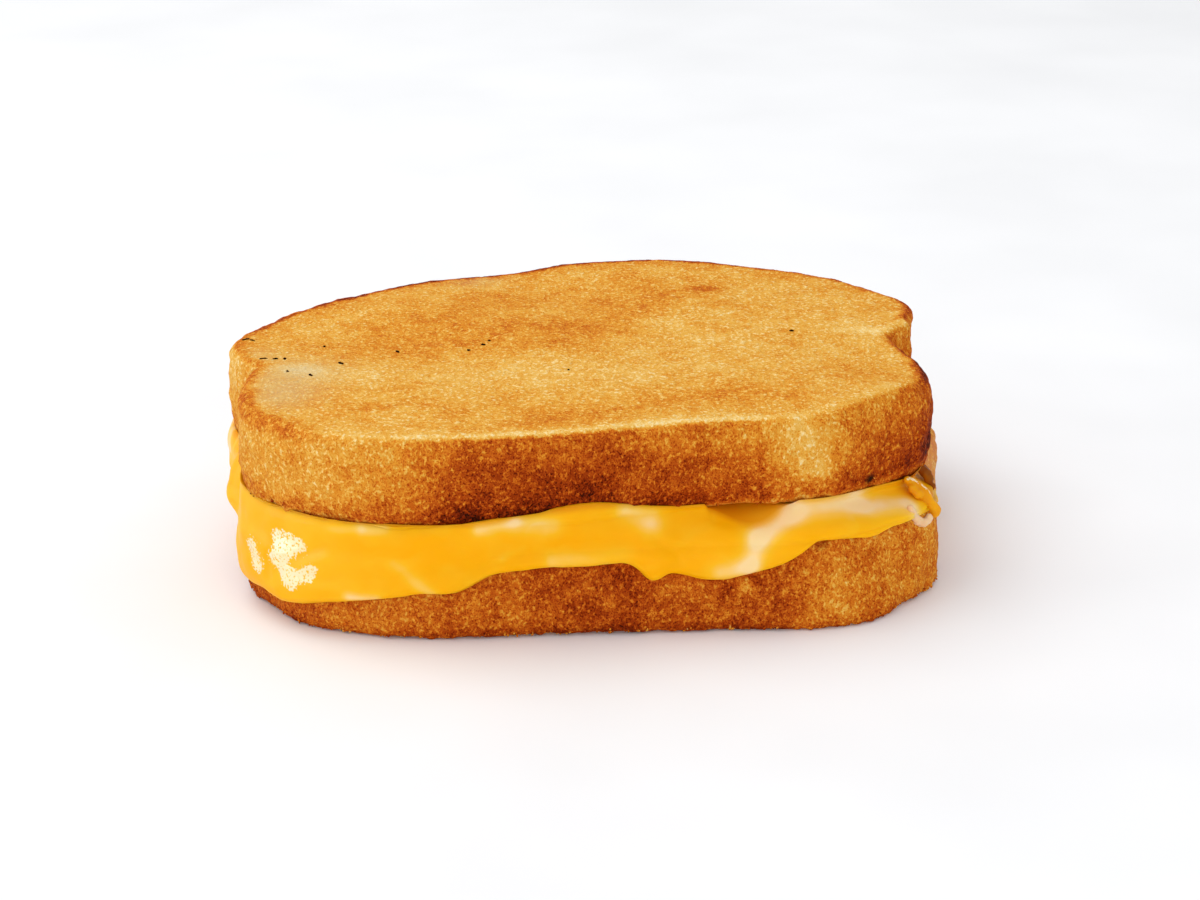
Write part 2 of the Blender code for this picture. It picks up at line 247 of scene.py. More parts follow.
@dataclass(frozen=True)
class Streak:
    """A soft streak along a straight line from one place in the row frame to another."""

    start: Triple
    end: Triple
    width: float
    strength: float

    def at(self, points: np.ndarray) -> np.ndarray:
        """Strength of the streak at points.

        Args:
            points: Places in millimetres, one row each.

        Returns:
            The strength on the line, fading over its width.
        """
        start = np.array(self.start)
        along = np.array(self.end) - start
        share = np.clip((points - start) @ along / (along @ along), 0.0, 1.0)
        gap = np.linalg.norm(points - start - share[:, None] * along, axis=1)
        return self.strength * np.exp(-((gap / self.width) ** 2))


def summed(marks: tuple[Swell | Patch | Streak, ...], points: np.ndarray) -> np.ndarray:
    """Sum of marks at points, or of swells at bearings."""
    return sum((mark.at(points) for mark in marks), np.zeros(len(points)))


@dataclass(frozen=True)
class Band:
    """A band of browning on a span of bearings, full at one depth and gone at another."""

    bearing: float
    span: float
    strength: float
    full: float
    gone: float

    def at(self, bearings: np.ndarray, depths: np.ndarray) -> np.ndarray:
        """Strength of the band at bearings, and at depths from the rim or heights."""
        share = np.exp(-(((bearings - self.bearing) / self.span) ** 4))
        return self.strength * share * fading(self.full, self.gone, depths)


def put_ring(vertices: Vertices, points: np.ndarray) -> None:
    """Move a ring's vertices to its points in millimetres."""
    for vertex, point in zip(vertices, points):
        vertex.co = point * MM


def extrude_ring(builder: bmesh.types.BMesh, vertices: Vertices, edges: Edges) -> tuple[Vertices, Edges]:
    """Extrude an open ring.

    Args:
        builder: Mesh that the ring is in.
        vertices: The ring's vertices, in order.
        edges: The ring's edges.

    Returns:
        The new ring's vertices, in the same order, and its edges.
    """
    made = bmesh.ops.extrude_edge_only(builder, edges=edges)["geom"]
    new_edges = [item for item in made if isinstance(item, bmesh.types.BMEdge)]
    new_vertices = {item for item in made if isinstance(item, bmesh.types.BMVert)}
    twins = []
    for vertex in vertices:
        across = [edge.other_vert(vertex) for edge in vertex.link_edges]
        twins += [other for other in across if other in new_vertices]
    return twins, new_edges


def loft(rings: list[np.ndarray]) -> bmesh.types.BMesh:
    """Closed body extruded from ring to ring, with a fan over either end.

    Args:
        rings: Rings of points in millimetres, each with as many.

    Returns:
        The new mesh, with its faces pointing out.
    """
    builder = bmesh.new()
    vertices = bmesh.ops.create_circle(builder, segments=len(rings[0]), radius=MM)["verts"]
    edges = builder.edges[:]
    ends = [edges]
    put_ring(vertices, rings[0])
    for ring in rings[1:]:
        vertices, edges = extrude_ring(builder, vertices, edges)
        put_ring(vertices, ring)
    ends.append(edges)
    for end in ends:
        cap = bmesh.ops.edgeloop_fill(builder, edges=end)["faces"]
        bmesh.ops.poke(builder, faces=cap)
    bmesh.ops.recalc_face_normals(builder, faces=builder.faces)
    return builder


def new_object(name: str, data: bpy.types.ID) -> bpy.types.Object:
    """Make an object of a mesh, a light or a camera, and link it to the scene."""
    made = bpy.data.objects.new(name, data)
    bpy.context.scene.collection.objects.link(made)
    return made


def make_piece(name: str, builder: bmesh.types.BMesh) -> bpy.types.Object:
    """Turn a bmesh into a smooth shaded object at the origin.

    Args:
        name: Name of the piece.
        builder: Its mesh, which is freed.

    Returns:
        The new object.
    """
    mesh = bpy.data.meshes.new(name)
    builder.to_mesh(mesh)
    builder.free()
    mesh.shade_smooth()
    return new_object(name, mesh)


def remesh(piece: bpy.types.Object, voxel: float) -> None:
    """Give a piece even small faces by filling it with voxels.

    Args:
        piece: Closed piece, whose mesh is exchanged.
        voxel: Size of the faces in millimetres.
    """
    modifier = piece.modifiers.new("even_faces", "REMESH")
    modifier.mode = "VOXEL"
    modifier.voxel_size = voxel * MM
    modifier.use_smooth_shade = True
    evaluated = piece.evaluated_get(bpy.context.evaluated_depsgraph_get())
    coarse = piece.data
    fine = bpy.data.meshes.new_from_object(evaluated)
    piece.modifiers.clear()
    piece.data = fine
    bpy.data.meshes.remove(coarse)
    fine.name = piece.name


def places_of(mesh: bpy.types.Mesh) -> np.ndarray:
    """Places of a mesh's vertices in millimetres, one row each."""
    flat = np.zeros(len(mesh.vertices) * 3, np.float32)
    mesh.vertices.foreach_get("co", flat)
    return flat.reshape(-1, 3).astype(float) / MM


def normals_of(mesh: bpy.types.Mesh) -> np.ndarray:
    """Outward directions at a mesh's vertices, one row each."""
    flat = np.zeros(len(mesh.vertices) * 3, np.float32)
    mesh.vertex_normals.foreach_get("vector", flat)
    return flat.reshape(-1, 3).astype(float)


def push_out(mesh: bpy.types.Mesh, distances: np.ndarray) -> np.ndarray:
    """Push a mesh's vertices out along their normals, and none of them into the table.

    Args:
        mesh: The mesh.
        distances: How far each goes, in millimetres.

    Returns:
        Their new places in millimetres, one row each.
    """
    places = places_of(mesh) + normals_of(mesh) * distances[:, None]
    places[:, 2] = np.maximum(places[:, 2], 0.0)
    mesh.vertices.foreach_set("co", (places * MM).astype(np.float32).ravel())
    mesh.update()
    return places


def paint(mesh: bpy.types.Mesh, **layers: np.ndarray) -> None:
    """Store numbers for each vertex, under the names that the materials read.

    Args:
        mesh: Mesh to paint.
        **layers: One number for each vertex, by name.
    """
    for name, values in layers.items():
        layer = mesh.attributes.new(name, "FLOAT", "POINT")
        layer.data.foreach_set("value", values.astype(np.float32))


def feed(tree: bpy.types.NodeTree, node: bpy.types.Node, inputs: dict) -> None:
    """Set a node's sockets, and link those that an output feeds.

    Args:
        tree: Node tree that it is in.
        node: The node.
        inputs: Sockets' names or numbers, each with a value or with the output that feeds it.
    """
    for key, value in inputs.items():
        if isinstance(value, bpy.types.NodeSocket):
            tree.links.new(value, node.inputs[key])
        else:
            node.inputs[key].default_value = value


def add_node(
    tree: bpy.types.NodeTree,
    kind: str,
    inputs: dict | None = None,
    out: int | str = 0,
    stops: Stops = (),
    **settings: object,
) -> bpy.types.NodeSocket:
    """Add a shader node with its settings, values and links.

    Args:
        tree: Node tree to add it to.
        kind: The node's type.
        inputs: Sockets' names or numbers, each with a value or with the output that feeds it.
        out: Name or number of the wanted output.
        stops: Places and hex colours, for a node that has a colour ramp.
        **settings: The node's own settings by name.

    Returns:
        The wanted output.
    """
    node = tree.nodes.new(f"ShaderNode{kind}")
    for name, value in settings.items():
        setattr(node, name, value)
    for at, (place, code) in enumerate(stops):
        elements = node.color_ramp.elements
        element = elements[at] if at < len(elements) else elements.new(place)
        element.position = place
        element.color = linear(code)
    feed(tree, node, inputs or {})
    return node.outputs[out]


def new_material(name: str) -> tuple[bpy.types.Material, bpy.types.NodeTree, bpy.types.Node]:
    """Start a material.

    Args:
        name: The finish's name.

    Returns:
        The material, its node tree and its Principled shader.
    """
    material = bpy.data.materials.new(name)
    material.use_nodes = True
    tree = material.node_tree
    return material, tree, tree.nodes["Principled BSDF"]


def dress(piece: bpy.types.Object, material: bpy.types.Material) -> None:
    """Finish a piece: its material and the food's one body.

    Args:
        piece: The piece.
        material: What it is made of.
    """
    piece.data.materials.append(material)
    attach(piece, BODY)
    log.info("%s: %d vertices", piece.name, len(piece.data.vertices))


@dataclass(frozen=True)
class ToastFinish:
    """Griddled white bread: butter-fried crumb, dry and finely grained, gold to dark brown as it fried.

    To the eye it is matt, with pale flecks over deeper brown pores. The flecks are partly crumb and partly
    painted glints, the bead tops are lightened as painted highlights, and the pores are darkened as painted
    shade. Its grain is a little longer up the slice's thickness, as the crust of a pan loaf is.
    """

    name: str
    blotch_size: float = 7.0
    mottle_size: float = 2.3
    grit_size: float = 0.30
    fleck_size: float = 0.62
    bead_size: float = 1.05
    blotch: float = 0.32
    mottle: float = 0.30
    grit: float = 0.80
    # The fleck and bead lifts paint glints and highlights on the raised grain, and the pore depth paints
    # shade in its pits
    fleck_glint_lift: float = 0.33
    bead_highlight_lift: float = 0.10
    pore_shade_depth: float = 0.19
    fleck_range: Pair = (0.52, 0.70)
    bead_range: Pair = (0.55, 0.12)
    pore_range: Pair = (0.44, 0.30)
    # From a range of toast or grit to a range of flecks or dust
    fewer_flecks: tuple[float, ...] = (0.35, 0.75, 1.0, 0.55)
    settled_dust: tuple[float, ...] = (0.40, 0.62, 0.50, 1.0)
    upright_stretch: float = 0.85
    relief: float = 0.42
    relief_strength: float = 0.9
    grit_relief: float = 0.6
    bead_relief: float = 0.4
    roughness: float = 0.66
    shine: float = 0.02
    browning: Stops = (
        (0.00, "#f6dca0"),
        (0.15, "#f2c873"),
        (0.30, "#e8af49"),
        (0.45, "#e0922a"),
        (0.60, "#ca6616"),
        (0.72, "#a8420b"),
        (0.84, "#7b2303"),
        (0.94, "#4c1503"),
        (1.00, "#280b04"),
    )
    dusty: str = "#cfb181"
    # Colour of charred bits, also used for the painted shade in cracks
    char: str = "#2a120a"

    def material(self) -> bpy.types.Material:
        """Build the finish from the mesh's own toast, dusty and char attributes. The toast carries some
        painted light and shade, and the char carries painted shade in cracks.

        Returns:
            The material.
        """
        material, tree, shader = new_material(self.name)
        own_place = add_node(tree, "TexCoord", out="Object")
        place = add_node(tree, "Mapping", {"Vector": own_place, "Scale": (1.0, 1.0, self.upright_stretch)})
        toast, dusty, char = (
            add_node(tree, "Attribute", out="Fac", attribute_name=key) for key in ("toast", "dusty", "char")
        )
        sizes = (self.blotch_size, self.mottle_size, self.grit_size, self.fleck_size)
        blotch, mottle, grit, fleck = (
            add_node(tree, "TexNoise", {"Vector": place, "Scale": 1.0 / (size * MM), "Detail": detail})
            for size, detail in zip(sizes, (4.0, 3.0, 2.0, 2.0))
        )
        bead = add_node(tree, "TexVoronoi", {"Vector": place, "Scale": 1.0 / (self.bead_size * MM)})
        flecks, beads, pore_shade, fried, settled = (
            add_node(tree, "MapRange", dict(zip(RANGE, (source, *limits))))
            for source, limits in (
                (fleck, self.fleck_range),
                (bead, self.bead_range),
                (grit, self.pore_range),
                (toast, self.fewer_flecks),
                (grit, self.settled_dust),
            )
        )
        flecks, dusted = (
            add_node(tree, "Math", {0: share, 1: factor}, operation="MULTIPLY")
            for share, factor in ((flecks, fried), (dusty, settled))
        )
        level = toast
        for noise, gain in ((blotch, self.blotch), (mottle, self.mottle), (grit, self.grit)):
            centred = add_node(tree, "Math", {0: noise, 1: 0.5}, operation="SUBTRACT")
            level = add_node(tree, "Math", {0: centred, 1: gain, 2: level}, operation="MULTIPLY_ADD")
        # Lighter flecks and bead tops as painted glints and highlights, and darker pores as painted shade
        for share, gain in ((flecks, -self.fleck_glint_lift), (beads, -self.bead_highlight_lift), (pore_shade, self.pore_shade_depth)):
            level = add_node(tree, "Math", {0: share, 1: gain, 2: level}, operation="MULTIPLY_ADD")
        colour = add_node(tree, "ValToRGB", {"Fac": level}, stops=self.browning)
        for factor, code in ((dusted, self.dusty), (char, self.char)):
            mixed = {MIX_FACTOR: factor, MIX_A: colour, MIX_B: linear(code)}
            colour = add_node(tree, "Mix", mixed, MIX_RESULT, data_type="RGBA")
        height = fleck
        for part, gain in ((grit, self.grit_relief), (beads, self.bead_relief)):
            height = add_node(tree, "Math", {0: part, 1: gain, 2: height}, operation="MULTIPLY_ADD")
        raised = {"Height": height, "Strength": self.relief_strength, "Distance": self.relief * MM}
        sockets = {"Base Color": colour, "Normal": add_node(tree, "Bump", raised)}
        feed(tree, shader, sockets | {"Roughness": self.roughness, "Specular IOR Level": self.shine})
        return material


@dataclass(frozen=True)
class CheeseFinish:
    """Melted mild cheddar marbled with a pale cheese: a smooth oily skin over a body that light soaks into.

    To the eye it glows warm yellow, with milky streaks, and it glints in grains where its oil has beaded.
    There a painted highlight of cream is mixed into its colour as well.
    """

    name: str = "melted_marbled_cheddar"
    cloud_size: float = 7.0
    cloud_middle: float = 0.42
    cloudiness: float = 0.36
    dimple_size: float = 0.55
    dimple_relief: float = 0.05
    dimple_strength: float = 0.5
    oil_grain: float = 0.46
    oil_relief: float = 0.34
    oil_range: Pair = (1.00, 1.09)
    skin_oil: float = 0.04
    beaded_oil: float = 0.90
    painted_highlight_cover: float = 0.74
    roughness: float = 0.42
    ior: float = 1.45
    shine: float = 0.05
    glow: float = 0.35
    glow_radius: Triple = (1.0, 0.55, 0.18)
    glow_depth: float = 3.0
    oil_roughness: float = 0.16
    marbling: Stops = (
        (0.00, "#fdae00"),
        (0.30, "#fbba1c"),
        (0.62, "#fcc555"),
        (1.00, "#fed79c"),
    )
    # Colour of fried amber cheese, also used for the painted shade along the seam
    amber: str = "#cf6c0a"
    # Cream mixed in where the oil has beaded, as a painted highlight
    painted_highlight: str = "#ffeec6"

    def material(self) -> bpy.types.Material:
        """Build the finish from the mesh's own pale, amber and oil attributes. The oil also places painted
        highlights, and the amber painted shade along the seam.

        Returns:
            The material.
        """
        material, tree, shader = new_material(self.name)
        place = add_node(tree, "TexCoord", out="Object")
        pale, amber, oil = (
            add_node(tree, "Attribute", out="Fac", attribute_name=key) for key in ("pale", "amber", "oil")
        )
        clouds, dimples, grains = (
            add_node(tree, "TexNoise", {"Vector": place, "Scale": 1.0 / (size * MM), "Detail": detail})
            for size, detail in ((self.cloud_size, 4.0), (self.dimple_size, 3.0), (self.oil_grain, 2.0))
        )
        centred = add_node(tree, "Math", {0: clouds, 1: self.cloud_middle}, operation="SUBTRACT")
        level = add_node(tree, "Math", {0: centred, 1: self.cloudiness, 2: pale}, operation="MULTIPLY_ADD")
        broken = add_node(tree, "Math", {0: grains, 1: oil}, operation="ADD")
        film, highlight_share = (
            add_node(tree, "MapRange", dict(zip(RANGE, (broken, *self.oil_range, least, most))))
            for least, most in ((self.skin_oil, self.beaded_oil), (0.0, self.painted_highlight_cover))
        )
        colour = add_node(tree, "ValToRGB", {"Fac": level}, stops=self.marbling)
        # Amber, which also carries the painted seam shade, and a cream painted highlight over beaded oil
        for factor, code in ((amber, self.amber), (highlight_share, self.painted_highlight)):
            mixed = {MIX_FACTOR: factor, MIX_A: colour, MIX_B: linear(code)}
            colour = add_node(tree, "Mix", mixed, MIX_RESULT, data_type="RGBA")
        dimpled = {"Height": dimples, "Strength": self.dimple_strength, "Distance": self.dimple_relief * MM}
        bump = add_node(tree, "Bump", dimpled)
        beaded = {"Height": grains, "Strength": 1.0, "Distance": self.oil_relief * MM, "Normal": bump}
        feed(tree, shader, {
            "Base Color": colour,
            "Normal": bump,
            "Coat Normal": add_node(tree, "Bump", beaded),
            "Coat Weight": film,
            "Coat Roughness": self.oil_roughness,
            "Roughness": self.roughness,
            "IOR": self.ior,
            "Specular IOR Level": self.shine,
            "Subsurface Weight": self.glow,
            "Subsurface Radius": self.glow_radius,
            "Subsurface Scale": self.glow_depth * MM,
        })
        return material


@dataclass(frozen=True)
class PlainFinish:
    """A matt finish whose tone wanders between two colours over a real size, such as charred crumb."""

    name: str
    dark: str
    light: str
    size: float
    roughness: float = 0.7
    shine: float = 0.05

    def material(self) -> bpy.types.Material:
        """Build the finish.

        Returns:
            The material.
        """
        material, tree, shader = new_material(self.name)
        place = add_node(tree, "TexCoord", out="Object")
        noise = add_node(tree, "TexNoise", {"Vector": place, "Scale": 1.0 / (self.size * MM)})
        colour = add_node(tree, "ValToRGB", {"Fac": noise}, stops=((0.3, self.dark), (0.7, self.light)))
        sockets = {"Base Color": colour, "Roughness": self.roughness, "Specular IOR Level": self.shine}
        feed(tree, shader, sockets)
        return material


@dataclass(frozen=True)
class Lobe:
    """One lobe of a loaf slice's outline: a superellipse, deeper on one side than on the other."""

    x: float
    y: float
    half_width: float
    front: float
    back: float
    squareness: float

    def distance(self, x: np.ndarray, y: np.ndarray) -> np.ndarray:
        """Rough signed distance to the lobe's edge.

        Args:
            x: Places along X.
            y: Places along Y.

        Returns:
            Distances, negative inside.
        """
        depth = np.where(y < self.y, self.front, self.back)
        across = np.abs((x - self.x) / self.half_width) ** self.squareness
        along = np.abs((y - self.y) / depth) ** self.squareness
        scale = (across + along) ** (1.0 / self.squareness)
        return np.hypot(x - self.x, y - self.y) * (1.0 - 1.0 / np.maximum(scale, TINY))


@dataclass(frozen=True)
class LoafOutline:
    """Outline of a pan loaf's slice: base and crown lobes with a notch between them on either side."""

    swells: tuple[Swell, ...]
    base: Lobe = Lobe(-3.8, -15.1, 61.2, 29.8, 21.6, 3.7)
    crown: Lobe = Lobe(1.8, 3.9, 64.0, 15.7, 42.2, 2.1)
    crease: float = 0.6
    middle_y: float = -2.0
    farthest: float = 120.0
    halvings: int = 40
    rays: int = 2880

    def reach(self, bearings: np.ndarray) -> np.ndarray:
        """Distance from the middle to the edge.

        Args:
            bearings: Bearings at which it is wanted.

        Returns:
            The distance at each bearing.
        """
        along_x = np.cos(np.radians(bearings))
        along_y = np.sin(np.radians(bearings))
        near = np.zeros_like(bearings)
        far = np.full_like(bearings, self.farthest)
        for _ in range(self.halvings):
            middle = 0.5 * (near + far)
            x = middle * along_x
            y = self.middle_y + middle * along_y
            base = self.base.distance(x, y)
            crown = self.crown.distance(x, y)
            blend = np.clip(0.5 + 0.5 * (crown - base) / self.crease, 0.0, 1.0)
            mixed = crown * (1.0 - blend) + base * blend - self.crease * blend * (1.0 - blend)
            near = np.where(mixed < 0.0, middle, near)
            far = np.where(mixed < 0.0, far, middle)
        return 0.5 * (near + far) + summed(self.swells, bearings)

    def all_bearings(self) -> np.ndarray:
        """Bearings at even steps all the way round."""
        return np.arange(self.rays) * 360.0 / self.rays


def even_bearings(reach: np.ndarray, bearings: np.ndarray, count: int) -> np.ndarray:
    """Bearings of points that lie at equal steps along an edge.

    Args:
        reach: Distance to the edge at each bearing.
        bearings: Bearings all the way round.
        count: How many points are wanted.

    Returns:
        Bearings of the points.
    """
    x, y = polar(reach, bearings)
    steps = np.hypot(np.roll(x, -1) - x, np.roll(y, -1) - y)
    lengths = np.concatenate(([0.0], np.cumsum(steps)))
    wanted = np.arange(count) * lengths[-1] / count
    return np.interp(wanted, lengths, np.append(bearings, bearings[0] + 360.0))


@dataclass(frozen=True)
class Lie:
    """How a slice lies in the sandwich: turned, shifted, and on a floor."""

    turn: float
    x: float
    y: float
    floor: float

    def placed(self, x: np.ndarray, y: np.ndarray) -> tuple[np.ndarray, np.ndarray]:
        """X and Y in the sandwich of a slice's own places."""
        x, y = rotated(x, y, self.turn)
        return x + self.x, y + self.y

    def own(self, x: np.ndarray, y: np.ndarray) -> tuple[np.ndarray, np.ndarray]:
        """A slice's own X and Y of places in the sandwich."""
        return rotated(x - self.x, y - self.y, -self.turn)


@dataclass(frozen=True)
class Spot:
    """Where points lie on a slice: bearing about its middle, depth in its outline, height over its floor."""

    bearing: np.ndarray
    inset: np.ndarray
    height: np.ndarray


@dataclass
class BreadSlice:
    """A thick slice of griddled bread: flat fried faces, rounded rims and a bellied crust side."""

    name: str
    node: str
    slot: Slot
    lie: Lie
    outline: LoafOutline
    bellies: tuple[Swell, ...]
    finish: ToastFinish
    shift: np.ndarray
    seed: int
    thickness: float = 16.8
    rim_radius: float = 1.8
    belly: float = 1.3
    columns: int = 480
    rim_steps: int = 5
    side_steps: int = 10
    voxel: float = 0.55
    face_fractions: tuple[float, ...] = (0.96, 0.9, 0.8, 0.66, 0.5, 0.34, 0.17)
    lumps: tuple[Patch, ...] = ()
    crust_relief: tuple[Relief, ...] = each(
        Relief, (0.20, Grain(4.6, 0)), (0.15, Grain(1.7, 1, 2)), (0.28, Dots(3.1, 1.3, 3, 0.5))
    )
    low_rim_relief: tuple[Relief, ...] = each(Relief, (0.42, Dots(2.1, 1.25, 2)))
    low_rim_swell: float = 0.02
    face_relief: tuple[Relief, ...] = each(
        Relief, (0.13, Grain(16.0, 5)), (0.07, Grain(1.9, 6, 2)), (-0.26, Dots(3.4, 1.1, 4, 0.45))
    )
    relief_edge: Pair = (0.1, 1.5)
    low_rim: Pair = (0.5, 4.5)
    tone_edge: Pair = (0.0, 1.1)
    face_toast: float = 0.46
    side_toast: float = 0.68
    side_browning: tuple[Swell, ...] = ()
    side_bands: tuple[Band, ...] = ()
    side_marks: tuple[Patch, ...] = ()
    cracks: tuple[Streak | Patch, ...] = ()
    thickest_dust: float = 0.8
    piece: bpy.types.Object | None = field(default=None, init=False)

    def rim_path(self, length: np.ndarray, bearings: np.ndarray) -> tuple[np.ndarray, np.ndarray]:
        """Follow the slice's profile from the edge of its flat face, round the rim and along the side.

        Args:
            length: Path lengths. A negative one lies on the flat face.
            bearings: Bearings of the paths.

        Returns:
            How far out of the outline the path is, and how far from the face.
        """
        length = length + np.zeros_like(bearings)
        quarter = 0.5 * np.pi
        turned = np.clip(length / self.rim_radius, 0.0, quarter)
        outward = self.rim_radius * (np.sin(turned) - 1.0) + np.minimum(length, 0.0)
        away = self.rim_radius * (1.0 - np.cos(turned)) + np.maximum(length - quarter * self.rim_radius, 0.0)
        height = np.clip(2.0 * away / self.thickness - 1.0, -1.0, 1.0)
        return outward + (self.belly + summed(self.bellies, bearings)) * (1.0 - height ** 2), away

    def flare(self, height: np.ndarray, bearings: np.ndarray) -> np.ndarray:
        """How far the side has spread at heights over the slice's floor: not at all, for a plain slice."""
        return np.zeros_like(height + bearings)

    def level(self, x: np.ndarray, y: np.ndarray, height: np.ndarray) -> np.ndarray:
        """Height over the table of places on the slice, at heights over its floor."""
        return self.lie.floor + height

    def rings(self) -> list[np.ndarray]:
        """Rings of points from the middle of the lower face to the middle of the upper one.

        Returns:
            The rings, in millimetres in the row frame.
        """
        every = self.outline.all_bearings()
        bearings = even_bearings(self.outline.reach(every), every, self.columns)
        reach = self.outline.reach(bearings)
        face = reach - self.rim_radius
        quarter = 0.5 * np.pi * self.rim_radius
        half_side = 0.5 * self.thickness - self.rim_radius
        lengths = [quarter * step / self.rim_steps for step in range(self.rim_steps + 1)]
        lengths += [quarter + half_side * (step + 1) / self.side_steps for step in range(self.side_steps)]
        lower_half = [(face * share, np.zeros_like(reach)) for share in reversed(self.face_fractions)]
        for length in lengths:
            outward, away = self.rim_path(length, bearings)
            lower_half.append((reach + outward, away))
        upper_half = [(out, self.thickness - away) for out, away in reversed(lower_half[:-1])]
        made = []
        for out, height in lower_half + upper_half:
            own_x, own_y = polar(out + self.flare(height, bearings), bearings)
            x, y = self.lie.placed(own_x, self.outline.middle_y + own_y)
            made.append(np.column_stack((x, y, self.level(x, y, height))) - self.shift)
        return made

    def spot(self, places: np.ndarray) -> Spot:
        """Find where points lie on the slice.

        Args:
            places: Places in millimetres in the row frame.

        Returns:
            Their bearings, insets and heights.
        """
        raw = places + self.shift
        x, y = self.lie.own(raw[:, 0], raw[:, 1])
        y = y - self.outline.middle_y
        bearing = bearing_of(x, y)
        every = self.outline.all_bearings()
        reach = np.interp(bearing, every, self.outline.reach(every), period=360.0)
        return Spot(bearing, reach - np.hypot(x, y), raw[:, 2] - self.lie.floor)

    def relief(self, places: np.ndarray, spot: Spot) -> np.ndarray:
        """How far the fried surface stands out of the plain form.

        Args:
            places: Places in millimetres in the row frame.
            spot: Where they lie on the slice.

        Returns:
            Outward distances in millimetres.
        """
        side = fading(*self.relief_edge, spot.inset)
        low_rim = side * fading(*self.low_rim, spot.height)
        crust = rough(self.crust_relief, places, self.seed)
        crumbly = rough(self.low_rim_relief, places, self.seed) + self.low_rim_swell
        face = rough(self.face_relief, places, self.seed)
        return side * crust + low_rim * crumbly + (1.0 - side) * face + summed(self.lumps, places)

    def face_tone(self, places: np.ndarray, spot: Spot) -> np.ndarray:
        """How far places on the faces are toasted: evenly, for a plain slice."""
        return np.full(len(places), self.face_toast)

    def dust(self, places: np.ndarray, spot: Spot) -> np.ndarray:
        """How dusty with pale crumb places are: not at all, for a plain slice."""
        return np.zeros(len(places))

    def tones(self, places: np.ndarray, spot: Spot) -> dict[str, np.ndarray]:
        """How far each place is toasted, dusty or charred, with the painted light and shade that some side
        bands and cracks add.

        Args:
            places: Places in millimetres in the row frame.
            spot: Where they lie on the slice.

        Returns:
            One number for each place, under the names that the finish reads.
        """
        side = fading(*self.tone_edge, spot.inset)
        crust = self.side_toast + summed(self.side_browning, spot.bearing) + summed(self.side_marks, places)
        crust += sum(band.at(spot.bearing, spot.height) for band in self.side_bands)
        return {
            # On the upper slice the side's tone also holds painted shade low down and painted light over the
            # seam
            "toast": self.face_tone(places, spot) * (1.0 - side) + crust * side,
            "dusty": self.dust(places, spot),
            "char": np.clip(summed(self.cracks, places), 0.0, 1.0),
        }

    def build(self) -> None:
        """Model, roughen, paint and dress the slice."""
        self.piece = make_piece(self.name, loft(self.rings()))
        remesh(self.piece, self.voxel)
        mesh = self.piece.data
        places = places_of(mesh)
        spot = self.spot(places)
        places = push_out(mesh, self.relief(places, spot))
        paint(mesh, **self.tones(places, spot))
        dress(self.piece, self.finish.material())
        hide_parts(self.node)


@dataclass(frozen=True)
class Wave:
    """A low slanting wave over a face, by its lengths along X and Y."""

    length_x: float
    length_y: float
    phase: float
    height: float

    def at(self, x: np.ndarray, y: np.ndarray) -> np.ndarray:
        """Height of the wave at places."""
        return self.height * np.cos(2.0 * np.pi * (x / self.length_x + y / self.length_y) + self.phase)


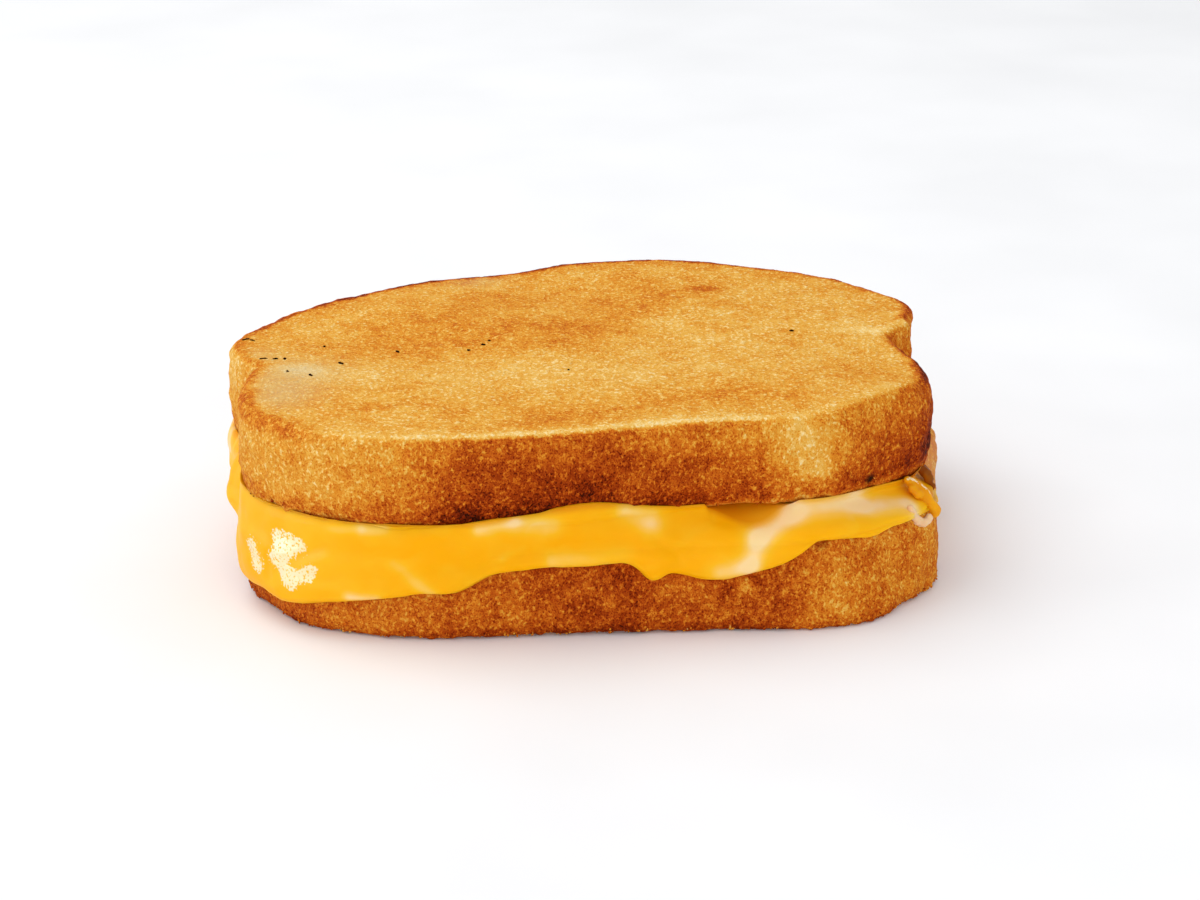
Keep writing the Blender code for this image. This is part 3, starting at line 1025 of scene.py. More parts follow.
@dataclass
class UpperSlice(BreadSlice):
    """The upper slice: a low waved face that shows, and an underside that sags at its right end."""

    droop: float = 4.3
    droop_start_x: float = 21.0
    droop_end_x: float = 66.0
    droop_limit: float = 1.2
    waves: tuple[Wave, ...] = each(
        Wave, (71.0, 53.0, 0.4, 0.22), (43.0, 96.0, 2.1, 0.16), (124.0, 39.0, 4.0, 0.18)
    )
    side_toast: float = 0.66
    side_browning: tuple[Swell, ...] = each(
        Swell, (202, 16, -0.22), (220, 9, -0.09), (246, 18, 0.11), (268, 14, 0.04), (302.5, 6.5, -0.15),
        (317, 7, -0.06), (328, 12, 0.07), (4, 30, -0.04), (60, 30, 0.06), (165, 22, -0.27),
    )
    # Darker low down and paler higher up but not at the ends, as painted shade where the side curves under
    # and painted light where it faces up; lightest just over the seam, as painted light thrown back by the
    # cheese;
    # the ends browner along the top
    side_bands: tuple[Band, ...] = each(
        Band, (0, ALL_ROUND, 0.15, 0, 8), (0, ALL_ROUND, -0.16, 0.6, 2), (252, 32, 0.08, 0, 4.5),
        (0, ALL_ROUND, -0.1, 16, 8), (195, 17, 0.1, 16, 8), (342, 11, 0.1, 16, 8),
        (195, 17, 0.14, 15.4, 13.4), (342, 11, 0.2, 15.4, 13.4),
    )
    side_marks: tuple[Patch, ...] = each(
        Patch, (32, -44.8, 34, 5, -0.2), (34.6, -44.2, 29, 3.2, -0.13), (61, -21, 36.5, 4.6, 0.07),
        (60.5, -26, 31, 5, 0.05), (59.5, -29, 25.5, 4.5, 0.12),
    )
    face_toast: float = 0.375
    face_marks: tuple[Patch, ...] = each(
        Patch, (-26, 21.4, 39, 9, 0.09, 0.6), (-13.8, 28.4, 39, 6, 0.07, 0.7), (-24.7, 6.4, 39, 10, 0.1, 0.5),
        (-44, 5.5, 39, 7, 0.05, 0.6), (-44, -24.8, 39, 5, 0.06, 0.8), (-26.1, -27.4, 39, 6.5, 0.08, 0.6),
        (-9.4, -36, 39, 6, 0.14, 0.5), (-2, 6, 39, 9, 0.11, 0.7), (8, 20, 39, 9, 0.09, 0.6),
        (19.9, 30, 39, 8, 0.07, 0.6), (14.3, -31.2, 39, 6, 0.14, 0.6), (27.3, -29.3, 39, 6, 0.06, 0.6),
        (42.3, -24, 39, 6, 0.05, 0.7), (28, 5, 39, 9, -0.03, 0.6), (-10, -17, 39, 14, -0.05, 0.5),
        (55.6, -8, 39, 7, -0.06), (-54.6, -6.3, 39, 3.4, -0.26, 0.9), (-47, -9, 39, 5, -0.08, 0.6),
        (60.5, 6, 39, 3, -0.08), (27.8, 27.1, 39, 2.6, 0.22, 0.7),
    )
    face_streaks: tuple[Streak, ...] = each(Streak, ((57.5, -2.6, 39), (49, -0.3, 39), 1.5, -0.15))
    # The back, the left end, the right end and the crown's right shoulder
    rim_bands: tuple[Band, ...] = each(
        Band, (92, 80, 0.4, 1.3, 3.6), (92, 80, 0.12, 3, 7.5), (195, 17, 0.18, 1.4, 4.4),
        (342, 11, 0.3, 0.9, 2.6), (342, 11, 0.12, 2, 5), (4, 8, 0.28, 0.9, 4),
    )
    inner_line: Swell = Swell(2.6, 1.6, -0.05)
    rim_line: Swell = Swell(1.2, 0.80, -0.23)
    rim_line_span: Band = Band(264, 46, 1, 16.2, 14)
    ragged_grain: Grain = Grain(3.0, 27, 2)
    raggedness: float = 0.5
    dust_edge: Pair = (1.6, 4.6)
    dusty_marks: tuple[Patch, ...] = each(
        Patch, (-55.5, -8, 39, 7.5, 0.55, 0.9), (-58.5, -18, 39, 6, 0.5, 0.9), (-54.6, -6.3, 39, 3, 0.2, 0.9),
        (-61.5, 4, 39, 4, 0.25), (-16, 41.5, 38.8, 4, 0.35, 0.7),
    )
    # Dark crack lines painted as the shade in the cracks, and a charred speck
    cracks: tuple[Streak | Patch, ...] = (
        each(Streak, ((33.4, -44.4, 30.6), (35.2, -44.3, 31.6), 0.45, 0.3),
            ((32.6, -44.4, 27.6), (34, -44.4, 28), 0.4, 0.26),
            ((35, -44.3, 29.6), (33.7, -44.4, 26.6), 0.4, 0.18))
        + each(Patch, (44.8, -38.2, 24.1, 0.8, 2.2))
    )

    def level(self, x: np.ndarray, y: np.ndarray, height: np.ndarray) -> np.ndarray:
        """Height over the table of places on the slice, with its sag and its face's waves.

        Args:
            x: Places in the sandwich along X.
            y: Places in the sandwich along Y.
            height: Heights over the slice's floor.

        Returns:
            Heights over the table.
        """
        lift = np.clip(height / self.thickness, 0.0, 1.0)
        waved = sum(wave.at(x, y) for wave in self.waves)
        return self.lie.floor + height - self.sag(x) * (1.0 - lift) + waved * lift ** 4

    def sag(self, x: np.ndarray) -> np.ndarray:
        """How much lower the underside hangs towards its right end."""
        share = (x - self.droop_start_x) / (self.droop_end_x - self.droop_start_x)
        return self.droop * np.clip(share, 0.0, self.droop_limit) ** 2

    def ragged(self, places: np.ndarray, spot: Spot) -> np.ndarray:
        """Depths inside the outline, made ragged for the edges of browning."""
        return spot.inset + self.raggedness * self.ragged_grain.at(places)

    def face_tone(self, places: np.ndarray, spot: Spot) -> np.ndarray:
        """How far places on the faces are toasted: mottled, with a pale line and browning along the rim.

        Args:
            places: Places in millimetres in the row frame.
            spot: Where they lie on the slice.

        Returns:
            One number for each place.
        """
        face = self.face_toast + summed(self.face_marks + self.face_streaks, places)
        face += self.inner_line.at(spot.inset)
        face += self.rim_line.at(spot.inset) * self.rim_line_span.at(spot.bearing, spot.height)
        ragged = self.ragged(places, spot)
        return face + sum(band.at(spot.bearing, ragged) for band in self.rim_bands)

    def dust(self, places: np.ndarray, spot: Spot) -> np.ndarray:
        """How dusty with pale crumb places are: in marks on the face that fade before the rim."""
        dusty = np.clip(summed(self.dusty_marks, places), 0.0, self.thickest_dust)
        return dusty * smooth_step(*self.dust_edge, self.ragged(places, spot))


@dataclass
class LowerSlice(BreadSlice):
    """The lower slice, which carries the cheese and rests on the table."""

    side_browning: tuple[Swell, ...] = each(
        Swell, (222, 14, -0.05), (262, 18, 0.06), (295, 8, 0.04), (310, 8, -0.09), (330, 14, -0.12),
        (0, 14, -0.2), (70, 30, 0.05), (150, 26, -0.08),
    )
    side_bands: tuple[Band, ...] = each(Band, (0, ALL_ROUND, 0.08, 0, 3.5))
    side_marks: tuple[Patch, ...] = each(
        Patch, (20.4, -47, 8.8, 1.3, -0.34), (36.5, -47.4, 9, 2.2, -0.14), (37, -47.3, 5.5, 2.4, -0.1),
        (-20, -44.2, 5, 4.5, -0.1), (6, -45.4, 6.5, 3, -0.1), (-14, -44.8, 4, 2.5, -0.06),
        (-3.4, -45.9, 6.8, 1.5, -0.176),
    )
    # Dark lines painted as the shade in a crack of the crust and at its top under the cheese
    cracks: tuple[Streak, ...] = each(
        Streak, ((34, -47.4, 13.6), (34.6, -47.9, 7.4), 0.4, 0.5),
        ((33.4, -47.3, 15.6), (34.6, -47.3, 15.7), 0.8, 0.4),
    )
    blushes: tuple[Swell, ...] = (Swell(359.0, 13.0, 0.52),)
    spread: float = 1.0
    spreads: tuple[Swell, ...] = each(
        Swell, (210, 9, 1.7), (225, 7, 1.2), (246, 8, -0.4), (284, 12, 1), (299, 8, 1.5), (315.5, 9, 3.4),
    )

    def flare(self, height: np.ndarray, bearings: np.ndarray) -> np.ndarray:
        """How far the side has spread under the weight of the rest, at heights over the table."""
        share = np.clip(1.0 - height / self.thickness, 0.0, 1.0)
        return (self.spread + summed(self.spreads, bearings)) * share ** 2

    def dust(self, places: np.ndarray, spot: Spot) -> np.ndarray:
        """How dusty with pale crumb places are: blushed over spans of the side."""
        side = fading(*self.tone_edge, spot.inset)
        return np.clip(summed(self.blushes, spot.bearing), 0.0, self.thickest_dust) * side


@dataclass
class CheeseLayer:
    """Melted cheese squeezed out between the slices, up the upper one's side and down the lower one's."""

    upper: UpperSlice
    lower: LowerSlice
    finish: CheeseFinish
    name: str = "melted_cheese"
    node: str = "cheese"
    slot: Slot = Slot.CHEESE
    clearance: float = -0.10
    slab_clearance: float = 0.3
    cover: float = 1.9
    tongues: tuple[Swell, ...] = each(
        Swell, (200.6, 13.8, 12.4), (202.5, 5, -2.2), (221.9, 16, 6.9), (234.8, 4.5, 1.9), (253.5, 22.4, 2),
        (273.1, 2.9, 2.6), (287.2, 14, 5.1), (303.8, 5.2, -2), (313.4, 3, 0.5), (334, 6, 1.5), (175, 7, 5),
        (5, 16, -4.9), (50, 11, 6), (78, 8, 7), (104, 10, 3.5), (131, 9, 8), (153, 7, 3),
    )
    rise: float = 0.6
    rim_lap: float = 1.15
    lap_gain: float = 3.0
    rises: tuple[Swell, ...] = each(
        Swell, (203, 6, 0.6), (259, 17, 2.7), (295, 6.5, -3), (308, 5, 0.6), (334, 5, 1.8), (6, 16, -3),
        (60, 20, 0.9), (110, 14, -1.6), (145, 14, 1.1),
    )
    proud: float = 1.5
    proud_swells: tuple[Swell, ...] = each(
        Swell, (208, 11, 2), (226, 15, 0.8), (256, 14, 0.8), (274, 4, 0.9), (287, 9, 1), (173, 8, 3.5),
        (183.5, 4, 3.3), (189, 4, -1), (199, 5, 0.5), (336, 8, -1.6), (131, 9, 1.2), (78, 8, 1.1),
        (6, 16, -1.1),
    )
    roundness: float = 0.7
    upper_roundness: float = 1.15
    slumps: tuple[Swell, ...] = (Swell(212.0, 20.0, 0.9),)
    lip_sag: float = 0.4
    retreat: float = 1.3
    back_off: float = 1.6
    least_rise: float = -2.4
    least_lip: float = 0.6
    notch_web: float = 5.0
    web_reach: float = 3.0
    web_rays: int = 25
    bridging: float = 0.8
    bridge_step: float = 2.5
    corner_span: float = 1.6
    hug_rays: int = 9
    columns: int = 820
    lip_steps: int = 44
    rim_steps: int = 5
    tuck: float = 5.0
    tuck_spacing: float = 0.05
    face_fractions: tuple[float, ...] = (0.4, 0.8)
    folds: tuple[Streak, ...] = each(
        Streak, ((-60.6, -34.6, 13.4), (-54.6, -38.4, 17.4), 1.2, -0.6),
        ((-63.8, -31, 9.5), (-62.6, -31.4, 16), 1, -0.4),
        ((-23.6, -46, 16.2), (-18.6, -46.4, 18.4), 0.55, 0.4),
        ((-28.4, -46.4, 13), (-24.2, -46.6, 16), 0.9, -0.35),
        ((-12, -46.3, 18.8), (2.6, -45.8, 18), 1.3, -0.3), ((4, -46.2, 19), (8.4, -47.6, 15), 1.1, -0.4),
    )
    milky: tuple[Streak | Patch, ...] = (
        each(Streak, ((-55.4, -38.6, 21.2), (-47.3, -42.2, 22.2), 0.95, 0.9),
            ((-47.2, -42.4, 21.9), (-43.2, -43.4, 22.1), 1.05, 1.1),
            ((-41.8, -44, 15.6), (-35.4, -44.8, 9.8), 1.3, 0.66),
            ((-49.4, -40.5, 8.4), (-45, -42, 8), 1.3, 0.85),
            ((-27, -46, 22.2), (-20.5, -46.4, 23.2), 1.2, 0.75),
            ((-20.1, -46.6, 22.8), (-14, -46.6, 22), 1.9, 0.8),
            ((-22.8, -46.2, 16.7), (-19.2, -46.4, 18.1), 0.7, 0.65),
            ((-14, -46, 15.4), (0, -45.4, 15.6), 1.3, 0.55),
            ((-0.5, -45.6, 23.4), (3.6, -45.2, 21.6), 2.1, 0.95),
            ((5, -45.4, 22), (10, -46, 20.6), 1.3, 0.3),
            ((15.4, -49.6, 12.6), (20.8, -49.6, 13.4), 1.9, 0.7),
            ((20.8, -49.6, 13.4), (22.6, -47.6, 18), 2.2, 0.62),
            ((22.6, -47.6, 18), (29.6, -44.6, 20.8), 2.2, 0.62),
            ((29.6, -44, 21.4), (43, -41.2, 21.2), 2.3, 0.75),
            ((43, -41.2, 21.2), (52.6, -38, 19.8), 2.2, 0.85),
            ((52.6, -38, 19.8), (53.4, -39.4, 17), 1.5, 0.5))
        + each(Patch, (-57, -37, 14, 11, 0.24))
        + each(Streak, ((24, -46.5, 18.6), (52, -39.5, 18.6), 3.4, 0.26))
        + each(Patch, (-67, 8, 18, 4, 0.35), (-70, -12, 15, 8, 0.28))
    )
    ambers: tuple[Patch, ...] = each(
        Patch, (56.6, -32.4, 20.4, 3, 0.85), (58.8, -33.4, 17.4, 2.6, 0.7),
    )
    # Beaded oil at the left end and in small ticks: a glossier coat, with a painted highlight over each spot
    oils: tuple[Patch | Streak, ...] = each(
        Streak, ((-65.2, -26.6, 13.6), (-64.6, -27.8, 11), 2.9, 0.74),
        ((-61.6, -32, 17.9), (-59.6, -33.8, 17.4), 1.9, 0.66),
        ((-60.3, -33.3, 15.9), (-57.4, -35.9, 16.9), 2.1, 0.7),
        ((-61.9, -31.5, 13.7), (-60.8, -32.6, 14.6), 1.7, 0.62),
        ((-60.4, -33.3, 12.4), (-59.4, -34.4, 10.3), 1.9, 0.66),
        ((-58.6, -34.8, 11), (-56.4, -36.8, 11.8), 1.8, 0.66),
        ((-56.6, -36.6, 12), (-55.2, -37.5, 13.5), 1.2, 0.58),
        ((-59.8, -34, 9.8), (-58.6, -35, 8.8), 1.1, 0.5),
        ((-13.9, -46.2, 18.2), (-13.2, -46.2, 17.6), 0.5, 0.65), ((2.4, -46, 20), (3, -46, 19.6), 0.4, 0.65),
        ((6.4, -47.2, 17.6), (7.2, -47.4, 17.2), 0.5, 0.65),
    )
    thickest_oil: float = 0.65
    knead: tuple[Relief, ...] = each(Relief, (0.32, Grain(9.0, 41)), (0.10, Grain(3.4, 42, 2)))
    swirl: Grain = Grain(8.0, 43, 2)
    swirl_step: float = 50.0
    swirl_reach: float = 4.0
    wisp: Grain = Grain(4.2, 44, 2)
    wisp_stretch: Triple = (0.35, 0.35, 1.0)
    front_marbling: float = 0.10
    back_marbling: float = 0.55
    # Painted shade along the seam: how deep it reaches, how strong it is, and how much less of it the milky
    # streaks take
    seam_depth: float = 1.2
    seam_shade_strength: float = 0.50
    seam_milk: float = 0.6
    lip_edge: Pair = (-1.6, 0.6)
    wisp_range: Pair = (0.25, 0.95)
    unseen_y: Pair = (-20.0, -5.0)
    seam: tuple[np.ndarray, np.ndarray] | None = field(default=None, init=False)

    def placed_edge(self, bread: BreadSlice) -> tuple[np.ndarray, np.ndarray, np.ndarray]:
        """Trace a placed slice's edge.

        Args:
            bread: The slice.

        Returns:
            Bearings and reaches from the middle of the sandwich, and the slice's own bearings.
        """
        every = bread.outline.all_bearings()
        own_x, own_y = polar(bread.outline.reach(every), every)
        x, y = bread.lie.placed(own_x, bread.outline.middle_y + own_y)
        seen = bearing_of(x, y)
        order = np.argsort(seen)
        return seen[order], np.hypot(x, y)[order], every[order]

    def edge(self, bread: BreadSlice, bearings: np.ndarray) -> np.ndarray:
        """Distance from the middle of the sandwich to a placed slice's edge, at bearings."""
        seen, reach, _ = self.placed_edge(bread)
        return np.interp(bearings % 360.0, seen, reach, period=360.0)

    def own_bearings(self, bread: BreadSlice, bearings: np.ndarray) -> np.ndarray:
        """A placed slice's own bearings of its edge.

        Args:
            bread: The slice.
            bearings: Bearings from the middle of the sandwich.

        Returns:
            The slice's own bearing at each.
        """
        seen, _, own = self.placed_edge(bread)
        turned = (own - seen + 180.0) % 360.0 - 180.0
        return bearings + np.interp(bearings % 360.0, seen, turned, period=360.0)

    def webbed(self, bread: BreadSlice, bearings: np.ndarray) -> np.ndarray:
        """Edge distance with the notches bridged, as thick cheese bridges them.

        Args:
            bread: The slice.
            bearings: Bearings at which it is wanted.

        Returns:
            The distance at each bearing.
        """
        steps = np.linspace(-self.web_reach, self.web_reach, self.web_rays)
        weights = [np.exp(-0.5 * step ** 2) for step in steps]
        edges = (self.edge(bread, bearings + step * self.notch_web) for step in steps)
        return sum(weight * edge for weight, edge in zip(weights, edges)) / sum(weights)

    def hugging(self, bread: BreadSlice, bearings: np.ndarray) -> np.ndarray:
        """Edge distance at bearings that leaves the slice's sharpest corners free."""
        steps = np.linspace(-self.corner_span, self.corner_span, self.hug_rays)
        return np.max([self.edge(bread, bearings + step) for step in steps], axis=0)

    def tuck_lengths(self, contact: np.ndarray) -> list[np.ndarray | float]:
        """Path lengths along a slice's profile, from where the cheese leaves it back to under it.

        Args:
            contact: Path length at which it leaves, at each bearing.

        Returns:
            Path lengths, one for each ring.
        """
        quarter = 0.5 * np.pi * self.lower.rim_radius
        rim = [quarter * step / self.rim_steps for step in range(self.rim_steps, -1, -1)]
        return [contact, 0.5 * (contact + quarter)] + rim + [-self.tuck]

    def rings(self) -> list[np.ndarray]:
        """Rings of points from the middle of the underside, round the lip, to the middle of the top.

        Returns:
            The rings, in millimetres in the row frame.
        """
        every = self.lower.outline.all_bearings()
        bearings = even_bearings(self.webbed(self.lower, every), every, self.columns)
        cosines = np.cos(np.radians(bearings))
        top_edge = self.hugging(self.upper, bearings)
        low_edge = self.hugging(self.lower, bearings)
        top_web = np.maximum(self.webbed(self.upper, bearings), top_edge)
        low_web = np.maximum(self.webbed(self.lower, bearings), low_edge)
        top_own = self.own_bearings(self.upper, bearings)
        low_own = self.own_bearings(self.lower, bearings)
        cover = self.cover + summed(self.tongues, bearings)
        pull = self.back_off * np.maximum(-cover, 0.0)
        proud = self.proud + summed(self.proud_swells, bearings)
        sag = self.upper.sag(top_edge * cosines)
        ceiling = self.upper.lie.floor - self.slab_clearance
        floor = self.lower.thickness + self.slab_clearance
        rim_saving = (0.5 * np.pi - 1.0) * self.lower.rim_radius
        least = np.maximum(self.least_rise, floor + self.least_lip + sag - self.upper.lie.floor)
        rise = np.maximum(self.rise + summed(self.rises, bearings), least)
        rise = np.maximum(rise, np.minimum(self.rim_lap, self.lap_gain * rise))

        def under_upper(length: np.ndarray) -> tuple[np.ndarray, np.ndarray]:
            """Reach and height of the cheese along the upper slice's profile, at path lengths."""
            outward, away = self.upper.rim_path(length, top_own)
            met = np.clip(length / self.upper.rim_radius, 0.0, 1.0)
            reach = top_edge + outward + self.clearance * met
            return reach, ceiling + self.slab_clearance * met + away - self.upper.sag(reach * cosines)

        def over_lower(length: np.ndarray) -> tuple[np.ndarray, np.ndarray]:
            """Reach and height of the cheese along the lower slice's profile, at path lengths."""
            outward, away = self.lower.rim_path(length, low_own)
            outward = outward + self.lower.flare(self.lower.thickness - away, low_own)
            reach = low_edge + outward + self.clearance * np.clip(length / self.lower.rim_radius, 0.0, 1.0)
            return reach, floor - away

        def outer_side(height: np.ndarray) -> np.ndarray:
            """Reach of the bread's sides, eased from one slice to the other, at heights over the table."""
            top_length = np.maximum(height - self.upper.lie.floor + sag, 0.0) + rim_saving
            low_length = np.maximum(self.lower.thickness - height, 0.0) + rim_saving
            top_side = top_web + self.upper.rim_path(top_length, top_own)[0]
            low_side = low_web + self.lower.rim_path(low_length, low_own)[0]
            low_side = low_side + self.lower.flare(height, low_own)
            share = smooth_step(0.0, 1.0, (height - floor) / (ceiling - sag - floor))
            side = low_side + (top_side - low_side) * share
            climb = np.clip((height - lower_edge) / (upper_edge - lower_edge), 0.0, 1.0)
            straight = low_web + (top_web - low_web) * climb
            bridge = self.bridging * smooth_step(0.0, self.bridge_step, top_web - low_web)
            return side + bridge * np.maximum(straight - side, 0.0) + self.clearance - pull

        turned = np.arccos(np.clip(1.0 - rise / self.upper.rim_radius, 0.0, 1.0))
        climbed = self.upper.rim_radius * turned + np.maximum(rise - self.upper.rim_radius, 0.0)
        top_contact = np.where(rise > 0.0, climbed, rise * self.retreat)
        upper_edge = self.upper.lie.floor - sag + rise
        self.seam = (bearings, upper_edge)
        lower_edge = over_lower(cover)[1]
        rings = []
        for share in self.face_fractions:
            reach = under_upper(np.full_like(bearings, -self.tuck))[0] * share
            rings.append((reach, ceiling - self.upper.sag(reach * cosines)))
        for to_go, length in reversed(list(enumerate(self.tuck_lengths(top_contact)))):
            rings.append(under_upper(np.minimum(length, top_contact - to_go * self.tuck_spacing)))
        slumped = self.upper_roundness + summed(self.slumps, bearings)
        for step in range(1, self.lip_steps + 1):
            turn = np.pi * step / (self.lip_steps + 1)
            height = upper_edge + (lower_edge - upper_edge) * 0.5 * (1.0 - np.cos(turn))
            bend = self.roundness if step > self.lip_steps // 2 else slumped
            fullness = np.sin(turn) ** bend * (1.0 - self.lip_sag * np.cos(turn))
            rings.append((outer_side(height) + proud * fullness, height))
        for to_go, length in enumerate(self.tuck_lengths(cover)):
            rings.append(over_lower(np.minimum(length, cover - to_go * self.tuck_spacing)))
        for share in reversed(self.face_fractions):
            reach = over_lower(np.full_like(bearings, -self.tuck))[0] * share
            rings.append((reach, np.full_like(reach, floor)))
        placed = (np.column_stack((*polar(reach, bearings), height)) for reach, height in reversed(rings))
        return [ring - self.lower.shift for ring in placed]

    def outside(self, places: np.ndarray) -> np.ndarray:
        """How far out of both slices' sides places lie: 0 in the sandwich, easing to 1 on the lip."""
        insets = [bread.spot(places).inset for bread in (self.lower, self.upper)]
        return smooth_step(*self.lip_edge, -np.maximum(*insets))

    def marbled(self, places: np.ndarray) -> np.ndarray:
        """How milky the cheese is: in streaks on the seen side, and in swirled wisps all round.

        Args:
            places: Places in millimetres in the row frame.

        Returns:
            Shares from 0 to 1.
        """
        warp = np.column_stack([self.swirl.at(places + self.swirl_step * axis) for axis in range(3)])
        stretched = (places + self.swirl_reach * warp) * np.array(self.wisp_stretch)
        wisps = smooth_step(*self.wisp_range, self.wisp.at(stretched))
        unseen = smooth_step(*self.unseen_y, places[:, 1])
        pale = summed(self.milky, places) + wisps * (self.front_marbling + self.back_marbling * unseen)
        return np.clip(pale, 0.0, 1.0)

    def painted_seam_shade(self, places: np.ndarray) -> np.ndarray:
        """How much painted shade turns the cheese amber along its seam, under the upper slice's overhang.

        Args:
            places: Places in millimetres in the row frame.

        Returns:
            Shares, most at the seam and none below its depth.
        """
        raw = places + self.lower.shift
        below = np.interp(bearing_of(raw[:, 0], raw[:, 1]), *self.seam, period=360.0) - raw[:, 2]
        return self.seam_shade_strength * fading(0.0, self.seam_depth, below)

    def build(self) -> None:
        """Model, knead, paint and dress the cheese."""
        piece = make_piece(self.name, loft(self.rings()))
        mesh = piece.data
        places = places_of(mesh)
        knead = rough(self.knead, places) + summed(self.folds, places)
        places = push_out(mesh, self.outside(places) * knead)
        pale = self.marbled(places)
        # Fried amber patches, and painted shade along the seam under the upper slice
        amber_and_seam_shade = summed(self.ambers, places) + self.painted_seam_shade(places) * (1.0 - self.seam_milk * pale)
        oil = np.clip(summed(self.oils, places), 0.0, self.thickest_oil)
        paint(mesh, pale=pale, amber=np.clip(amber_and_seam_shade, 0.0, 1.0), oil=oil)
        dress(piece, self.finish.material())
        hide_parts(self.node)


@dataclass(frozen=True)
class Bead:
    """A round drop that melts into its neighbours."""

    x: float
    y: float
    z: float
    radius: float


@dataclass
class MeltedBit:
    """A small bit of cheese made of drops that have run together."""

    name: str
    beads: tuple[Bead, ...]
    pale: float
    amber: float
    oil: float
    softening: int
    thickest_oil: float = 0.8
    voxel: float = 0.22
    lumps: Grain = Grain(1.5, 61, 2)
    lumpiness: float = 0.10
    browning: Grain = Grain(1.8, 62)
    wander: float = 0.15
    # Streaks of beaded oil, each a glossier coat with a painted highlight
    glints: tuple[Streak, ...] = ()
    finish: CheeseFinish = CheeseFinish()

    def soften(self, mesh: bpy.types.Mesh) -> None:
        """Smooth a mesh, as melting does."""
        builder = bmesh.new()
        builder.from_mesh(mesh)
        axes = {f"use_axis_{axis}": True for axis in "xyz"}
        for _ in range(self.softening):
            bmesh.ops.smooth_vert(builder, verts=builder.verts, factor=0.5, **axes)
        builder.to_mesh(mesh)
        builder.free()

    def build(self) -> None:
        """Melt the drops together and dress them."""
        builder = bmesh.new()
        for bead in self.beads:
            place = Matrix.Translation(Vector((bead.x, bead.y, bead.z)) * MM)
            bmesh.ops.create_icosphere(builder, subdivisions=3, radius=bead.radius * MM, matrix=place)
        piece = make_piece(self.name, builder)
        remesh(piece, self.voxel)
        mesh = piece.data
        self.soften(mesh)
        places = places_of(mesh)
        push_out(mesh, self.lumpiness * self.lumps.at(places))
        amber = np.clip(self.amber + self.wander * self.browning.at(places), 0.0, 1.0)
        oil = np.clip(self.oil + summed(self.glints, places), 0.0, self.thickest_oil)
        paint(mesh, pale=np.full(len(places), self.pale), amber=amber, oil=oil)
        dress(piece, self.finish.material())


@dataclass
class Crumbs:
    """Loose grains of fried crumb that cling to a slice's crust, sunk in by half."""

    name: str
    bread: BreadSlice
    count: int
    seed: int
    smallest: float = 0.12
    largest: float = 0.34
    stretches: Pair = (0.6, 1.3)
    unevenness: float = 0.12
    sink: float = 0.2
    table_gap: float = 0.15
    side_edge: Pair = (0.1, 1.3)
    low_rim: Pair = (0.5, 2.6)
    clear_of_table: Pair = (0.15, 0.4)
    toast: float = 0.62
    toast_range: float = 0.20
    toast_size: float = 2.0

    def build(self) -> None:
        """Scatter the crumbs over the side, most of them along its lower rim."""
        draw = np.random.default_rng(self.seed)
        mesh = self.bread.piece.data
        places = places_of(mesh)
        normals = normals_of(mesh)
        spot = self.bread.spot(places)
        wanted = fading(*self.side_edge, spot.inset) * fading(*self.low_rim, spot.height)
        wanted = wanted * smooth_step(*self.clear_of_table, spot.height)
        chosen = draw.choice(len(places), self.count, replace=False, p=wanted / wanted.sum())
        builder = bmesh.new()
        for at in chosen:
            size = draw.uniform(self.smallest, self.largest)
            stretch = Matrix.Diagonal(Vector((*draw.uniform(*self.stretches, 3), 1.0)))
            turn = Matrix.Rotation(draw.uniform(0.0, 2.0 * np.pi), 4, Vector(draw.normal(size=3)))
            middle = places[at] + normals[at] * size * self.sink
            middle[2] = max(middle[2], self.table_gap + size)
            place = Matrix.Translation(Vector(middle) * MM) @ turn @ stretch
            made = bmesh.ops.create_icosphere(builder, subdivisions=1, radius=size * MM, matrix=place)
            for vertex in made["verts"]:
                vertex.co += Vector(draw.normal(scale=self.unevenness * size * MM, size=3))
        piece = make_piece(self.name, builder)
        places = places_of(piece.data)
        toast = self.toast + self.toast_range * Grain(self.toast_size, self.seed).at(places)
        paint(piece.data, toast=toast, dusty=np.zeros(len(places)), char=np.zeros(len(places)))
        dress(piece, self.bread.finish.material())


@dataclass(frozen=True)
class Speck:
    """A charred speck on the upper face: its place, its length and width, and how it is turned."""

    x: float
    y: float
    length: float
    width: float
    turn: float = 0.0


